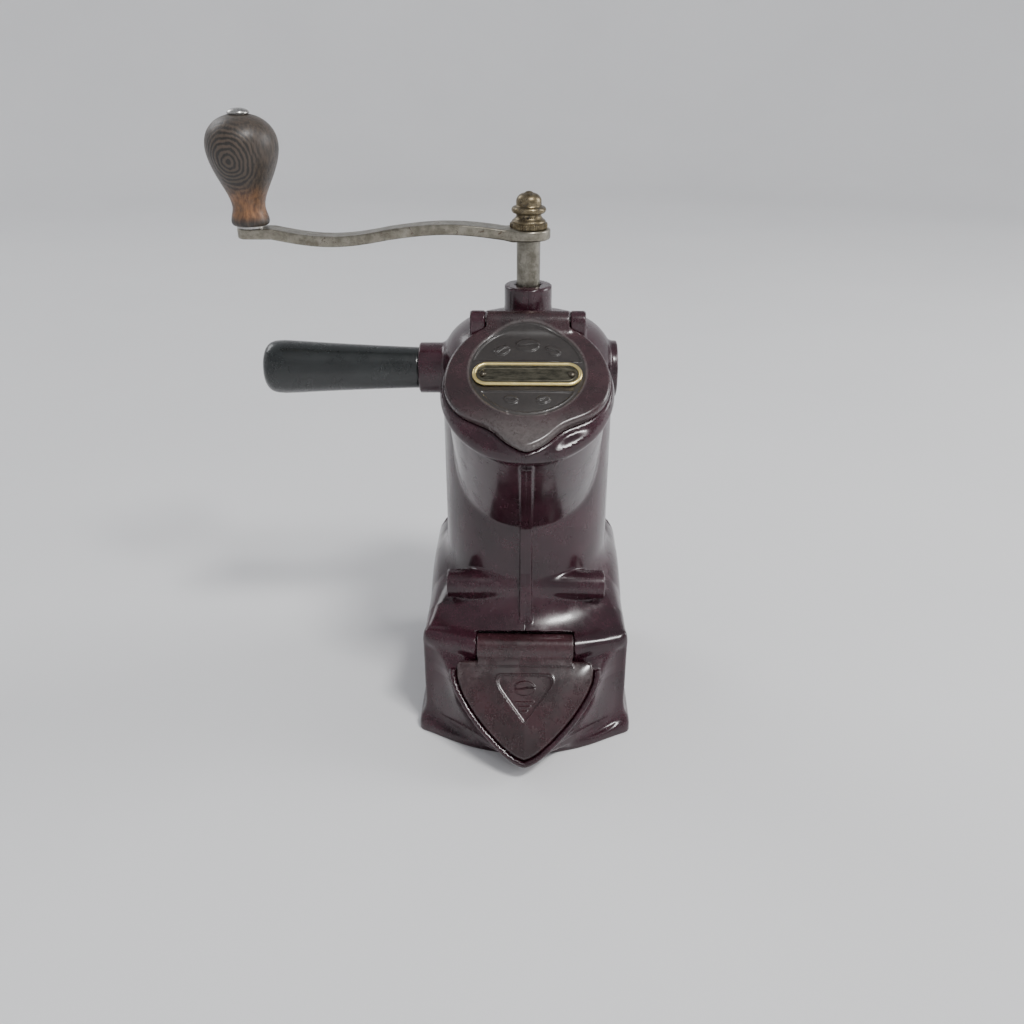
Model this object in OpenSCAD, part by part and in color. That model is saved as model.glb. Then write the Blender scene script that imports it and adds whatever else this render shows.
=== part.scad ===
// Hand crank coffee grinder: two moulded casing halves, a tilted hopper with a hinged lid,
// a conical burr set on a vertical crank shaft, and a grounds chamber with a pouring flap.
// Millimetres. +Z is up, the pouring spout points along -Y and the holding handle along -X.
// The origin is on the resting plane, under the crank shaft.

/* [Casing] */
// Outer radius of the upright column
column_r = 38; // [37:0.5:39]
// Moulded wall thickness
wall = 2.4; // [2.3:0.1:2.8]
// Height of the collar that the shaft leaves through
collar_top = 200; // [198:0.5:202]
// Outer radius of that collar
collar_r = 10.2; // [10:0.1:10.6]
// Width of the seam rib down the front
rib_w = 5.2; // [4:0.2:6]

/* [Base] */
// Half the width of the grounds chamber
base_half = 46; // [45.5:0.5:46.5]
// Height of the chamber's upper edge
base_top = 54; // [53.5:0.5:54.5]
// Half the width of the foot
foot_half = 50; // [49.5:0.5:51]
// How far the curved foot reaches forward
foot_front = 70; // [68:1:71]

/* [Hopper] */
// Forward lean of the hopper and its lid, in degrees
hopper_tilt = 30; // [29.5:0.5:30.5]
// Outer radius of the hopper wall
hopper_r = 33.5; // [33.3:0.1:33.7]
// Thickness of the lid
lid_t = 5; // [4.8:0.1:5.2]

/* [Crank] */
// Radius of the crank shaft
shaft_r = 5; // [4.9:0.05:5.05]
// Distance from the shaft to the knob
crank_reach = 116.5; // [110:0.5:120]
// Width of the crank arm
arm_w = 12; // [11:0.5:13]
// Thickness of the crank arm
arm_t = 4.3; // [4:0.1:4.6]

/* [Handle] */
// Length of the side grip
grip_len = 69.5; // [65:0.5:72]
// Radius of the grip at its outer end
grip_end_r = 11.8; // [11.5:0.1:12.5]

/* [Hidden] */
$fn = 64;

eps = 0.02;          // keeps faces of two pieces of one body from coinciding where they slide together
run_gap = 0.05;      // radial clearance of a running fit
part_gap = 0.3;      // clearance between moving pieces that do not bear on each other
big = 400;

bakelite = [0.20, 0.08, 0.10];
bakelite_dark = [0.14, 0.08, 0.09];
grip_black = [0.05, 0.06, 0.06];
steel = [0.55, 0.55, 0.53];
worn_steel = [0.45, 0.44, 0.38];
brass = [0.75, 0.62, 0.28];
bronze = [0.42, 0.36, 0.24];
wood = [0.28, 0.20, 0.13];

// Casing landmarks
dome_z = 166;                        // where the column starts to round over
dome_r = 19;                         // radius of that rounding
floor_t = 3;
base_front = 49;
base_back = 46;
shoulder_z = 73;                     // where the shoulder meets the column
inner_r = column_r - wall - 0.2;
chamber_half = base_half - wall;

// Hopper seat: the plane that the lid closes on
seat_y = -40;
seat_z = 168.5;
lid_r = 34.4;
hopper_draft = 2.6;                  // narrowing of the hopper over its length
bore_r = hopper_r - wall;
tip_reach = 36.5;                    // the lid's pointed lip, from the lid's centre
tip_r = 4;

// Plate on the lid
plate_y = 1.2;
plate_half = 22.3;
plate_r = 6.1;
rivet_x = 18;

// Lid hinge
lid_pin_y = -15;
lid_pin_z = 188;
lid_ear_in = 17.7;
lid_ear_out = 24.3;
lid_barrel_r = 4.5;
pin_r = 1.5;

// Pouring flap: its own plane hangs from the hinge
flap_y = -51.5;
flap_z = 48;
flap_tilt = 48;
flap_barrel_r = 5.8;
flap_barrel_half = 21.7;
flap_t = 3.4;
flap_half = 30.6;
flap_reach = 51.2;

// Clamp tubes across the casing
tube_y = 33;
tube_z = 70;
tube_r = 6.5;
tube_half = 36;
clamp_r = 2;

// Handle
handle_z = 162.5;
socket_r = 11.2;
socket_x = -48;
pad_r = 12.5;
pad_x = 39.4;
rod_r = 3;
rod_seat = -31.5;                    // flat face inside the column that the handle nut bears on

// Burrs
burr_top = 88;
ring_r = 23;
ring_flange_r = 27;
ring_h = 16;
ring_flange_t = 3;
cone_h = 16;
cone_top_r = 9;
cone_low_r = 17;
burr_gap = 1;
bridge_screw_y = 24.4;
spindle_r = 3.5;                     // shaft below the burr bridge
spindle_low = 58;

// Bearings
bridge_z = 147;
bridge_t = 4;
bridge_half = 36.3;
bush_r = 7;
thrust_z = bridge_z + bridge_t + 3.2; // underside of the collar that carries the shaft

// Crank
arm_z = 219.2;
arm_rise = 2.2;
arm_dip = 3;
hub_r = 9.2;
spindle_x = -crank_reach;
knob_z = arm_z + arm_t + 1;
knob_h = 42.9;

function arc(c, r, a0, a1, n) = [for (i = [0:n]) let (a = a0 + (a1 - a0) * i / n) [c[0] + r * cos(a), c[1] + r * sin(a)]];

module seat() {
    translate([0, seat_y, seat_z]) rotate([hopper_tilt, 0, 0]) children();
}

module flap_plane() {
    translate([0, flap_y, flap_z]) rotate([flap_tilt, 0, 0]) children();
}

// A rod along X, centred on x = 0
module cross_rod(y, z, r, half) {
    translate([-half, y, z]) rotate([0, 90, 0]) cylinder(r = r, h = 2 * half);
}

// A rod along X from x0 to x1
module x_rod(x0, x1, y, z, r) {
    translate([x0, y, z]) rotate([0, 90, 0]) cylinder(r = r, h = x1 - x0);
}

module hex_nut(across, h, hole_r) {
    difference() {
        cylinder(d = across / cos(30), h = h, $fn = 6);
        translate([0, 0, -1]) cylinder(r = hole_r, h = h + 2);
    }
}

// Plan outline of the chamber: square front corners, round back corners
module base_outline(half, front, back, back_r) {
    polygon(concat(
        [[-half, -front], [half, -front]],
        arc([half - back_r, back - back_r], back_r, 0, 90, 6),
        arc([-half + back_r, back - back_r], back_r, 90, 180, 6)
    ));
}

// Plan outline of the foot: the front edge is one arc
module foot_outline(grow) {
    half = foot_half + grow;
    bulge = foot_front - 50;
    arc_r = (half * half + bulge * bulge) / (2 * bulge);
    arc_a = asin(half / arc_r);
    polygon(concat(
        arc([0, -foot_front - grow + arc_r], arc_r, 270 - arc_a, 270 + arc_a, 14),
        arc([half - 16, 50 + grow - 16], 16, 0, 90, 6),
        arc([-half + 16, 50 + grow - 16], 16, 90, 180, 6)
    ));
}

// Outer form of the column, its domed top and the shaft collar, turned as one profile
module column_form() {
    rotate_extrude() polygon(concat(
        [[0, 40], [column_r, 40]],
        arc([column_r - dome_r, dome_z], dome_r, 0, 84, 8),
        [[14, 187.5], [11.4, 191], [collar_r, 194.5], [collar_r, collar_top], [0, collar_top]]
    ));
}

module column_hollow() {
    in_dome = dome_r - wall;
    rotate_extrude() polygon(concat(
        [[0, burr_top], [ring_flange_r + 0.6, burr_top], [inner_r, 96]],
        arc([inner_r - in_dome, dome_z - 1], in_dome, 0, 84, 8),
        [[0, 183.6]]
    ));
}

module hopper_form() {
    seat() {
        translate([0, 0, -75]) cylinder(r1 = hopper_r - hopper_draft, r2 = hopper_r, h = 74);
        // rounded rim bead
        rotate_extrude() polygon(concat([[0, -8], [hopper_r, -8]], arc([hopper_r - 2.7, -4], 4, -50, 80, 6), [[0, -0.06]]));
        // pointed lip under the lid's tip
        translate([0, 0, -5.5]) linear_extrude(5) tip_outline(1.4);
    }
}

// The wedge that makes the lid and the rim pointed at the front
module tip_outline(grow) {
    r = tip_r + grow;
    reach = tip_reach - tip_r;
    side = 60;
    polygon(concat(
        [[-21 - grow, -22]],
        arc([0, -reach], r, 180 + 90 - side, 180 + 90 + side, 6),
        [[21 + grow, -22]]
    ));
}

module base_form() {
    // flared foot
    hull() {
        linear_extrude(2.5) foot_outline(0);
        translate([0, 0, 21]) linear_extrude(1) base_outline(base_half, base_front, base_back, 14);
    }
    // upright chamber walls
    translate([0, 0, 20]) linear_extrude(base_top - 22) base_outline(base_half, base_front, base_back, 14);
    // rounded shoulder up to the column
    hull() {
        translate([0, 0, base_top - 3]) linear_extrude(1) base_outline(base_half, base_front, base_back, 14);
        translate([0, 0, shoulder_z - 11]) linear_extrude(1) base_outline(base_half - 1.6, 38, base_back - 1.6, 20);
        translate([0, 0, shoulder_z + 1]) cylinder(r = column_r + 1.6, h = 1, $fn = 32);
    }
    // spout
    hull() {
        for (side = [-1, 1]) {
            translate([side * 44, -47, 52]) sphere(r = 2, $fn = 16);
            translate([side * 28, -48, 10]) sphere(r = 2, $fn = 16);
        }
        flap_plane() {
            translate([0, -48.8, -3.2]) sphere(r = 3.4, $fn = 24);
            for (side = [-1, 1]) {
                translate([side * 29.4, -17.8, -2.2]) sphere(r = 2.2, $fn = 16);
                translate([side * 21.6, -31.6, -2.2]) sphere(r = 2.2, $fn = 16);
                translate([side * 11, -44, -2.2]) sphere(r = 2.2, $fn = 16);
            }
        }
        translate([0, -67, 6]) sphere(r = 2, $fn = 16);
    }
    // hinge shoulders on both sides of the flap's barrel
    cross_rod(flap_y, flap_z, flap_barrel_r, 33);
}

module base_hollow() {
    hull() {
        translate([0, 0, floor_t]) linear_extrude(base_top - floor_t - 4)
            base_outline(chamber_half, base_front - wall, base_back - wall, 11);
        translate([0, 0, shoulder_z - 5]) cylinder(r = inner_r, h = 1, $fn = 32);
    }
    translate([0, 0, shoulder_z - 6]) cylinder(r = inner_r, h = 80 - shoulder_z + 6);
    hull() {
        for (side = [-1, 1]) {
            translate([side * 36, -42, 42]) sphere(r = 2, $fn = 16);
            translate([side * 24, -44, 10]) sphere(r = 2, $fn = 16);
        }
        flap_plane() translate([0, -40.5, -5.5]) sphere(r = 2, $fn = 16);
        translate([0, -60, 9]) sphere(r = 2, $fn = 16);
    }
}

// Seam rib: a thin upright plate that follows the hopper, the column and the shoulder
module rib_form() {
    front = hopper_r + 2;
    lean = [sin(hopper_tilt), -cos(hopper_tilt)];
    out = [-cos(hopper_tilt), -sin(hopper_tilt)];
    top = [seat_y, seat_z] + 8 * lean + front * out;
    along = (seat_y + front * out[0] + column_r + 2.4) / -lean[0];
    crease = [seat_y, seat_z] + along * lean + front * out;
    translate([-rib_w / 2, 0, 0]) rotate([90, 0, 90]) linear_extrude(rib_w)
        polygon([top, crease, [-column_r - 2.6, 80], [-47, flap_z + 8], [-40, 50], [-column_r + 2, 60],
            [-column_r + 1, crease[1]], top + [4, 0]]);
}

module lid_ears() {
    for (side = [-1, 1]) {
        x0 = side > 0 ? lid_ear_in : -lid_ear_out;
        x1 = side > 0 ? lid_ear_out : -lid_ear_in;
        x_rod(x0, x1, lid_pin_y, lid_pin_z, lid_barrel_r);
        translate([x0, lid_pin_y - lid_barrel_r, 174]) cube([x1 - x0, 2 * lid_barrel_r, lid_pin_z - 174]);
    }
}

// Plan of the pouring flap, in its own plane, hanging from the hinge at y = 0
module flap_outline(grow) {
    neck = flap_barrel_half - 0.4 + 2 * grow;
    side = [for (i = [0:12]) let (u = sin(7.5 * i))
        [(flap_half + grow) * pow(1 - pow(u, 1.45), 0.85), -13 - (flap_reach - 13 + grow) * u]];
    right = concat([[neck, -3], [neck, -6.6 + grow], [28.6 + grow, -6.6 + grow], [flap_half + grow, -9]], side);
    polygon(concat(right, [for (i = [len(right) - 2:-1:0]) [-right[i][0], right[i][1]]]));
}

// Everything moulded, before it is parted down the middle
module casing() {
    difference() {
        union() {
            difference() {
                union() {
                    column_form();
                    hopper_form();
                    base_form();
                    rib_form();
                    lid_ears();
                    x_rod(socket_x, -30, 0, handle_z, socket_r);
                    x_rod(30, pad_x, 0, handle_z, pad_r);
                }
                column_hollow();
                base_hollow();
                seat() translate([0, 0, -60]) cylinder(r1 = bore_r - hopper_draft, r2 = bore_r, h = 61);
                // mouth of the spout, under the flap
                flap_plane() translate([0, 0, -14]) linear_extrude(20)
                    polygon([[-24, -10], [-5, -40], [5, -40], [24, -10]]);
            }
            // tubes for the two clamp screws, and bosses around the handle rod
            for (y = [-tube_y, tube_y]) cross_rod(y, tube_z, tube_r, tube_half);
            x_rod(-36.5, rod_seat, 0, handle_z, 7.5);
        }
        // room for the lid's barrel and disc
        cross_rod(lid_pin_y, lid_pin_z, lid_barrel_r + 0.5, lid_ear_in);
        translate([-lid_ear_in, lid_pin_y - 9, lid_pin_z]) cube([2 * lid_ear_in, 9 + 4.9, 12]);
        seat() cylinder(r = lid_r + 0.5, h = 20);
        seat() translate([0, 0, -0.5]) cylinder(r = bore_r, h = 2);
        seat() linear_extrude(20) tip_outline(0.5);
        // room for the flap's barrel and plate
        cross_rod(flap_y, flap_z, flap_barrel_r + 0.4, flap_barrel_half + 0.3);
        flap_plane() linear_extrude(20) flap_outline(0.6);
        flap_plane() translate([-flap_barrel_half - 0.25, -6.5, 0]) cube([2 * flap_barrel_half + 0.5, 13, 14]);
        // pins, shaft, rod, screws and the burr ring's seat
        cross_rod(lid_pin_y, lid_pin_z, pin_r, lid_ear_out - 1);
        cross_rod(flap_y, flap_z, pin_r, 30);
        translate([0, 0, 170]) cylinder(r = bush_r, h = 40);
        x_rod(-60, -20, 0, handle_z, rod_r + 0.1);
        for (y = [-tube_y, tube_y]) {
            cross_rod(y, tube_z, clamp_r + 0.1, 60);
            x_rod(tube_half - 3.2, 60, y, tube_z, 4.2);
            x_rod(-60, -tube_half + 3.2, y, tube_z, 4.2);
        }
        translate([0, 0, burr_top - ring_flange_t]) cylinder(r = ring_flange_r + eps, h = ring_flange_t + 1);
        translate([0, 0, 60]) cylinder(r = ring_r + eps, h = 30);
        translate([-bridge_half - eps, -5.5 - eps, bridge_z - eps]) cube([2 * bridge_half + 2 * eps, 11 + 2 * eps, bridge_t + 2 * eps]);
        cross_rod(0, bridge_z + bridge_t / 2, 1.3, 60);
        x_rod(column_r - 0.02, 60, 0, bridge_z + bridge_t / 2, 2.2);
    }
}

module body_left() {
    color(bakelite) intersection() {
        casing();
        translate([-big, -big / 2, -1]) cube([big, big, big]);
    }
}

module body_right() {
    color(bakelite) intersection() {
        casing();
        translate([0, -big / 2, -1]) cube([big, big, big]);
    }
}

// Slotted cheese-head screw along X through a clamp tube
module clamp_screw(y) {
    color(steel) difference() {
        union() {
            x_rod(-tube_half + 1, tube_half - 3.2, y, tube_z, clamp_r);
            x_rod(tube_half - 3.2, tube_half - 0.6, y, tube_z, 3.8);
        }
        translate([tube_half - 1.6, y - 5, tube_z - 0.5]) cube([3, 10, 1]);
    }
}

module clamp_nut(y) {
    color(steel) translate([-tube_half + 0.6, y, tube_z]) rotate([0, 90, 0]) hex_nut(6.8, 2.6, clamp_r + eps);
}

module front_clamp_screw() { clamp_screw(-tube_y); }
module front_clamp_nut() { clamp_nut(-tube_y); }
module rear_clamp_screw() { clamp_screw(tube_y); }
module rear_clamp_nut() { clamp_nut(tube_y); }

module handle_grip() {
    end_x = socket_x - grip_len;
    color(grip_black) difference() {
        translate([0, 0, handle_z]) rotate([0, 90, 0]) rotate_extrude() polygon(concat(
            [[0, end_x]],
            arc([grip_end_r - 4, end_x + 4], 4, -90, 0, 6),
            [[grip_end_r - 1.2, end_x + 26], [9.1, socket_x - 0.1], [0, socket_x - 0.1]]
        ));
        x_rod(end_x + 6, 0, 0, handle_z, rod_r + eps);
    }
}

module handle_rod() {
    end_x = socket_x - grip_len;
    color(steel) x_rod(end_x + 6.5, rod_seat + 7, 0, handle_z, rod_r);
}

module handle_nut() {
    color(steel) translate([rod_seat + 1, 0, handle_z]) rotate([0, 90, 0]) hex_nut(10, 4.6, rod_r + eps);
}

module handle_washer() {
    color(steel) difference() {
        x_rod(rod_seat, rod_seat + 1, 0, handle_z, 7);
        x_rod(rod_seat - 1, rod_seat + 2, 0, handle_z, rod_r + eps);
    }
}

module hopper_lid() {
    color(bakelite_dark) difference() {
        union() {
            seat() {
                rotate_extrude() polygon(concat([[0, 0.3], [lid_r, 0.3]], arc([lid_r - 2, lid_t - 2], 2, 0, 90, 5), [[0, lid_t]]));
                translate([0, 0, 0.3]) linear_extrude(lid_t - 0.8) tip_outline(0);
                // locating ring inside the mouth
                translate([0, 0, -2.5]) difference() {
                    cylinder(r = bore_r - 1.2, h = 3.5);
                    translate([0, 0, -1]) cylinder(r = bore_r - 3.2, h = 3.5);
                }
            }
            cross_rod(lid_pin_y, lid_pin_z, lid_barrel_r, lid_ear_in - part_gap);
        }
        // clearance around the ears, and behind the hinge line
        for (side = [-1, 1]) {
            translate([side > 0 ? lid_ear_in - part_gap : -lid_ear_out - 8, lid_pin_y - lid_barrel_r - 0.6, 160])
                cube([lid_ear_out - lid_ear_in + 8 + part_gap, 40, 60]);
        }
        difference() {
            translate([-60, lid_pin_y, 160]) cube([120, 40, 60]);
            cross_rod(lid_pin_y, lid_pin_z, lid_barrel_r, lid_ear_in - part_gap);
        }
        // shallow panels above and below the plate
        seat() translate([0, plate_y, lid_t - 0.5]) {
            linear_extrude(2) polygon(arc([0, 3], 23.4, 11.5, 168.5, 14));
            linear_extrude(2) polygon(arc([0, 3], 22.1, 210.5, 329.5, 14));
        }
        // seat and holes for the plate
        seat() translate([0, plate_y, lid_t - 0.4]) linear_extrude(2) stadium(plate_half, plate_r);
        seat() for (side = [-1, 1]) translate([side * rivet_x, plate_y, lid_t - 3.9]) cylinder(r = 0.8, h = 6);
        cross_rod(lid_pin_y, lid_pin_z, pin_r + run_gap, 30);
    }
}

// Long outline with round ends, half_len to the end of the round
module stadium(half_len, r) {
    polygon(concat(arc([half_len - r, 0], r, -90, 90, 10), arc([-half_len + r, 0], r, 90, 270, 10)));
}

module lid_plate() {
    color(brass) seat() translate([0, plate_y, lid_t - 0.4]) difference() {
        linear_extrude(1.7) stadium(plate_half, plate_r);
        translate([0, 0, 0.9]) linear_extrude(2) stadium(plate_half - 1.5, plate_r - 1.5);
        for (side = [-1, 1]) translate([side * rivet_x, 0, -1]) cylinder(r = 0.8, h = 4);
    }
}

module plate_rivets() {
    color(steel) seat() for (side = [-1, 1]) translate([side * rivet_x, plate_y, 0]) {
        translate([0, 0, lid_t - 3.9]) cylinder(r = 0.8, h = 4.5);
        translate([0, 0, lid_t + 0.5]) intersection() {
            cylinder(r = 1.5, h = 1.2);
            translate([0, 0, -0.6]) sphere(r = 1.7);
        }
    }
}

module lid_hinge_pin() {
    color(steel) cross_rod(lid_pin_y, lid_pin_z, pin_r, lid_ear_out - 1);
}

module outlet_flap() {
    color(bakelite_dark) difference() {
        union() {
            flap_plane() {
                translate([0, 0, 0.3]) linear_extrude(flap_t) flap_outline(0);
                // tongue that drops into the spout's mouth
                translate([0, 0, -2.4]) linear_extrude(3) polygon([[-20, -13], [-4.4, -37.5], [4.4, -37.5], [20, -13]]);
            }
            cross_rod(flap_y, flap_z, flap_barrel_r, flap_barrel_half);
        }
        flap_plane() translate([0, -21, flap_t - 0.2]) linear_extrude(2) shield_outline();
        cross_rod(flap_y, flap_z, pin_r + run_gap, 30);
    }
}

// Small sunken shield on the flap
module shield_outline() {
    polygon(concat(arc([10, 5], 3, 10, 90, 4), arc([-10, 5], 3, 90, 170, 4), arc([0, -11], 2, 210, 330, 5)));
}

module flap_hinge_pin() {
    color(steel) cross_rod(flap_y, flap_z, pin_r, 30);
}

module collar_bush() {
    color(bronze) difference() {
        translate([0, 0, 183.6]) cylinder(r = bush_r - eps, h = collar_top - 183.6 - 1);
        translate([0, 0, 170]) cylinder(r = shaft_r + run_gap, h = 40);
    }
}

// Flat bar across the column with a bored hub in the middle
module bearing_bridge() {
    color(steel) difference() {
        union() {
            translate([-bridge_half, -5.5, bridge_z]) cube([2 * bridge_half, 11, bridge_t]);
            translate([0, 0, bridge_z - 3]) cylinder(r = 9, h = bridge_t + 6);
        }
        translate([0, 0, bridge_z - 10]) cylinder(r = shaft_r + run_gap, h = 30);
        cross_rod(0, bridge_z + bridge_t / 2, 1.2 + eps, 60);
    }
}

module bridge_screws() {
    color(steel) for (side = [-1, 1]) {
        x_rod(side > 0 ? 28 : -column_r, side > 0 ? column_r : -28, 0, bridge_z + bridge_t / 2, 1.2);
        x_rod(side > 0 ? column_r : -column_r - 1.3, side > 0 ? column_r + 1.3 : -column_r,
            0, bridge_z + bridge_t / 2, 1.9);
    }
}

module thrust_ring() {
    color(steel) difference() {
        translate([0, 0, thrust_z]) cylinder(r = 8.5, h = 5);
        translate([0, 0, 100]) cylinder(r = shaft_r + eps, h = 100);
        cross_rod(0, thrust_z + 2.5, 1 + eps, 20);
    }
}

module thrust_pin() {
    color(steel) cross_rod(0, thrust_z + 2.5, 1, 8.2);
}

// Sloping teeth: a ring of slanted cuts
module teeth(count, r, z, depth, lean, h) {
    for (i = [0:count - 1]) rotate([0, 0, i * 360 / count]) translate([r, 0, z]) rotate([lean, 0, 0])
        rotate([0, 0, 45]) cube([depth, depth, h], center = true);
}

module burr_ring() {
    low = burr_top - ring_h;
    color(steel) difference() {
        union() {
            translate([0, 0, low]) cylinder(r = ring_r, h = ring_h);
            translate([0, 0, burr_top - ring_flange_t]) cylinder(r = ring_flange_r, h = ring_flange_t);
        }
        translate([0, 0, low - 0.01]) cylinder(r1 = cone_low_r + burr_gap, r2 = 13, h = ring_h + 0.02);
        teeth(16, 16.6, low + 8, 2, 14, 26);
        for (side = [-1, 1]) translate([0, side * bridge_screw_y, burr_top - 5]) cylinder(r = 1.2, h = 10);
    }
}

module burr_bridge() {
    color(steel) difference() {
        union() {
            translate([-4.5, -ring_flange_r + 0.2, burr_top + eps]) cube([9, 2 * ring_flange_r - 0.4, 3.2]);
            translate([0, 0, burr_top + eps]) cylinder(r = 7.6, h = 8);
        }
        translate([0, 0, 70]) cylinder(r = shaft_r + run_gap, h = 40);
        for (side = [-1, 1]) translate([0, side * bridge_screw_y, burr_top - 2]) cylinder(r = 1.2 + eps, h = 10);
    }
}

module burr_bridge_screws() {
    color(steel) for (side = [-1, 1]) translate([0, side * bridge_screw_y, 0]) difference() {
        union() {
            translate([0, 0, burr_top - 2.6]) cylinder(r = 1.2, h = 6.1);
            translate([0, 0, burr_top + 3.3]) cylinder(r = 2.2, h = 1.6);
        }
        translate([-3, -0.3, burr_top + 4.2]) cube([6, 0.6, 2]);
    }
}

module burr_cone() {
    low = burr_top - ring_h - 1;
    color(steel) difference() {
        union() {
            translate([0, 0, low]) cylinder(r1 = cone_low_r, r2 = cone_top_r, h = cone_h);
            translate([0, 0, low - 2]) cylinder(r = 11, h = 2.1);
        }
        translate([0, 0, low - 5]) cylinder(r = spindle_r + run_gap, h = 40);
        teeth(10, 14, low + 8.5, 3, -22, 28);
        // slot for the drive key
        translate([-1.1, 0, low - 3]) cube([2.2, spindle_r + 2.4, 9]);
    }
}

module cone_key() {
    color(steel) translate([-1, spindle_r - 1.2, burr_top - ring_h]) cube([2, 3, 3.6]);
}

module adjuster_nut() {
    top = burr_top - ring_h - 4.2;
    color(bronze) difference() {
        union() {
            translate([0, 0, top - 5]) cylinder(r = 9, h = 5);
            translate([0, 0, top - 8]) cylinder(r = 6, h = 3.1);
        }
        translate([0, 0, top - 20]) cylinder(r = spindle_r + run_gap, h = 40);
        for (i = [0:11]) rotate([0, 0, 30 * i]) translate([9.6, 0, top - 6]) cylinder(r = 1.4, h = 8);
    }
}

module adjuster_spring() {
    color(steel) translate([0, 0, burr_top - ring_h - 4 + 0.1]) difference() {
        cylinder(r = 7, h = 0.8);
        translate([0, 0, -1]) cylinder(r = spindle_r + 0.4, h = 3);
    }
}

module main_shaft() {
    color(steel) difference() {
        union() {
            translate([0, 0, burr_top]) cylinder(r = shaft_r, h = arm_z - burr_top);
            translate([0, 0, spindle_low]) cylinder(r = spindle_r, h = burr_top - spindle_low + 1);
            translate([-3.4, -3.4, arm_z - 0.1]) cube([6.8, 6.8, arm_t]);
            translate([0, 0, arm_z + 2]) cylinder(r = 2.9, h = 14);
        }
        // key seat and cross pin hole
        cross_rod(0, thrust_z + 2.5, 1 + eps, 20);
        translate([-1.02, spindle_r - 1.22, burr_top - ring_h - 0.02]) cube([2.04, 3, 3.64]);
    }
}

// Height of the arm's underside at a distance d from the shaft: flat at both ends, waved between
arm_flat = 9;
function arm_low(d) = let (t = max(0, min(1, (d - arm_flat) / (crank_reach - 2 * arm_flat))))
    arm_z + (t < 0.5 ? arm_rise : arm_dip) * sin(360 * t);

module crank_arm() {
    steps = 28;
    reach = crank_reach + 6;
    color(worn_steel) difference() {
        union() {
            intersection() {
                translate([0, arm_w / 2, 0]) rotate([90, 0, 0]) linear_extrude(arm_w) polygon(concat(
                    [for (i = [0:steps]) let (d = 5 + (reach - 5) * i / steps) [-d, arm_low(d)]],
                    [for (i = [steps:-1:0]) let (d = 5 + (reach - 5) * i / steps) [-d, arm_low(d) + arm_t]]
                ));
                union() {
                    translate([spindle_x, 0, 200]) cylinder(r = arm_w / 2, h = 40);
                    translate([spindle_x, -arm_w / 2, 200]) cube([crank_reach, arm_w, 40]);
                }
            }
            translate([0, 0, arm_z]) cylinder(r = hub_r, h = arm_t);
        }
        translate([-3.42, -3.42, arm_z - 5]) cube([6.84, 6.84, 20]);
        translate([spindle_x, 0, 200]) cylinder(r = 2.5 + eps, h = 40);
    }
}

module crank_nut() {
    base = arm_z + arm_t + eps;
    color(bronze) translate([0, 0, base]) difference() {
        rotate_extrude() polygon(concat(
            [[0, 0], [7.8, 0], [7.8, 1.9], [6.4, 3.2], [5.6, 4.6], [5.6, 6]],
            arc([5.9, 7.6], 1.5, -70, 70, 5),
            [[5.5, 9.2], [5.5, 10.8]],
            arc([1.6, 10.8], 3.9, 10, 80, 5),
            [[0, 15]]
        ));
        translate([0, 0, -1]) cylinder(r = 2.9 + eps, h = 13);
        for (i = [0:29]) rotate([0, 0, 12 * i]) translate([8, 0, -1]) rotate([0, 0, 45]) cube([0.8, 0.8, 5.4], center = true);
    }
}

module crank_knob() {
    // profile: foot bead, neck and pear-shaped head
    profile = [[6.8, 0], [7.6, 0.8], [7.8, 2.2], [7.3, 4.4], [6.8, 6.6], [6.9, 8.6], [7.8, 11.6], [9.6, 15.6],
        [12, 20.6], [13.8, 25.4], [14.7, 29.8], [14.4, 33.6], [13, 37], [10.6, 40], [7.6, 42], [4.4, knob_h]];
    color(wood) translate([spindle_x, 0, knob_z]) difference() {
        rotate_extrude() polygon(concat([[0, 0]], profile, [[0, knob_h]]));
        translate([0, 0, -1]) cylinder(r = 2.5 + run_gap, h = 60);
    }
}

module knob_spindle() {
    low = arm_z - 0.7;
    color(steel) translate([spindle_x, 0, 0]) {
        translate([0, 0, low]) cylinder(r = 2.5, h = knob_z + knob_h + 0.6 - low);
        intersection() {
            translate([0, 0, knob_z + knob_h + 0.3]) cylinder(r = 4.5, h = 3);
            translate([0, 0, knob_z + knob_h - 3.4]) sphere(r = 6);
        }
    }
}

module knob_washer() {
    color(steel) translate([spindle_x, 0, arm_z + arm_t + 0.1]) difference() {
        cylinder(r = 6, h = 0.8);
        translate([0, 0, -1]) cylinder(r = 2.5 + eps, h = 3);
    }
}

body_left();
body_right();
front_clamp_screw();
front_clamp_nut();
rear_clamp_screw();
rear_clamp_nut();
handle_grip();
handle_rod();
handle_nut();
handle_washer();
hopper_lid();
lid_hinge_pin();
lid_plate();
plate_rivets();
outlet_flap();
flap_hinge_pin();
collar_bush();
bearing_bridge();
bridge_screws();
thrust_ring();
thrust_pin();
burr_ring();
burr_bridge();
burr_bridge_screws();
burr_cone();
adjuster_nut();
adjuster_spring();
cone_key();
main_shaft();
crank_arm();
crank_nut();
crank_knob();
knob_spindle();
knob_washer();
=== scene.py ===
"""Looks of a hand crank coffee grinder: glossy moulded casing, worn lid and flap, crank, wooden knob."""
import math

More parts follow.
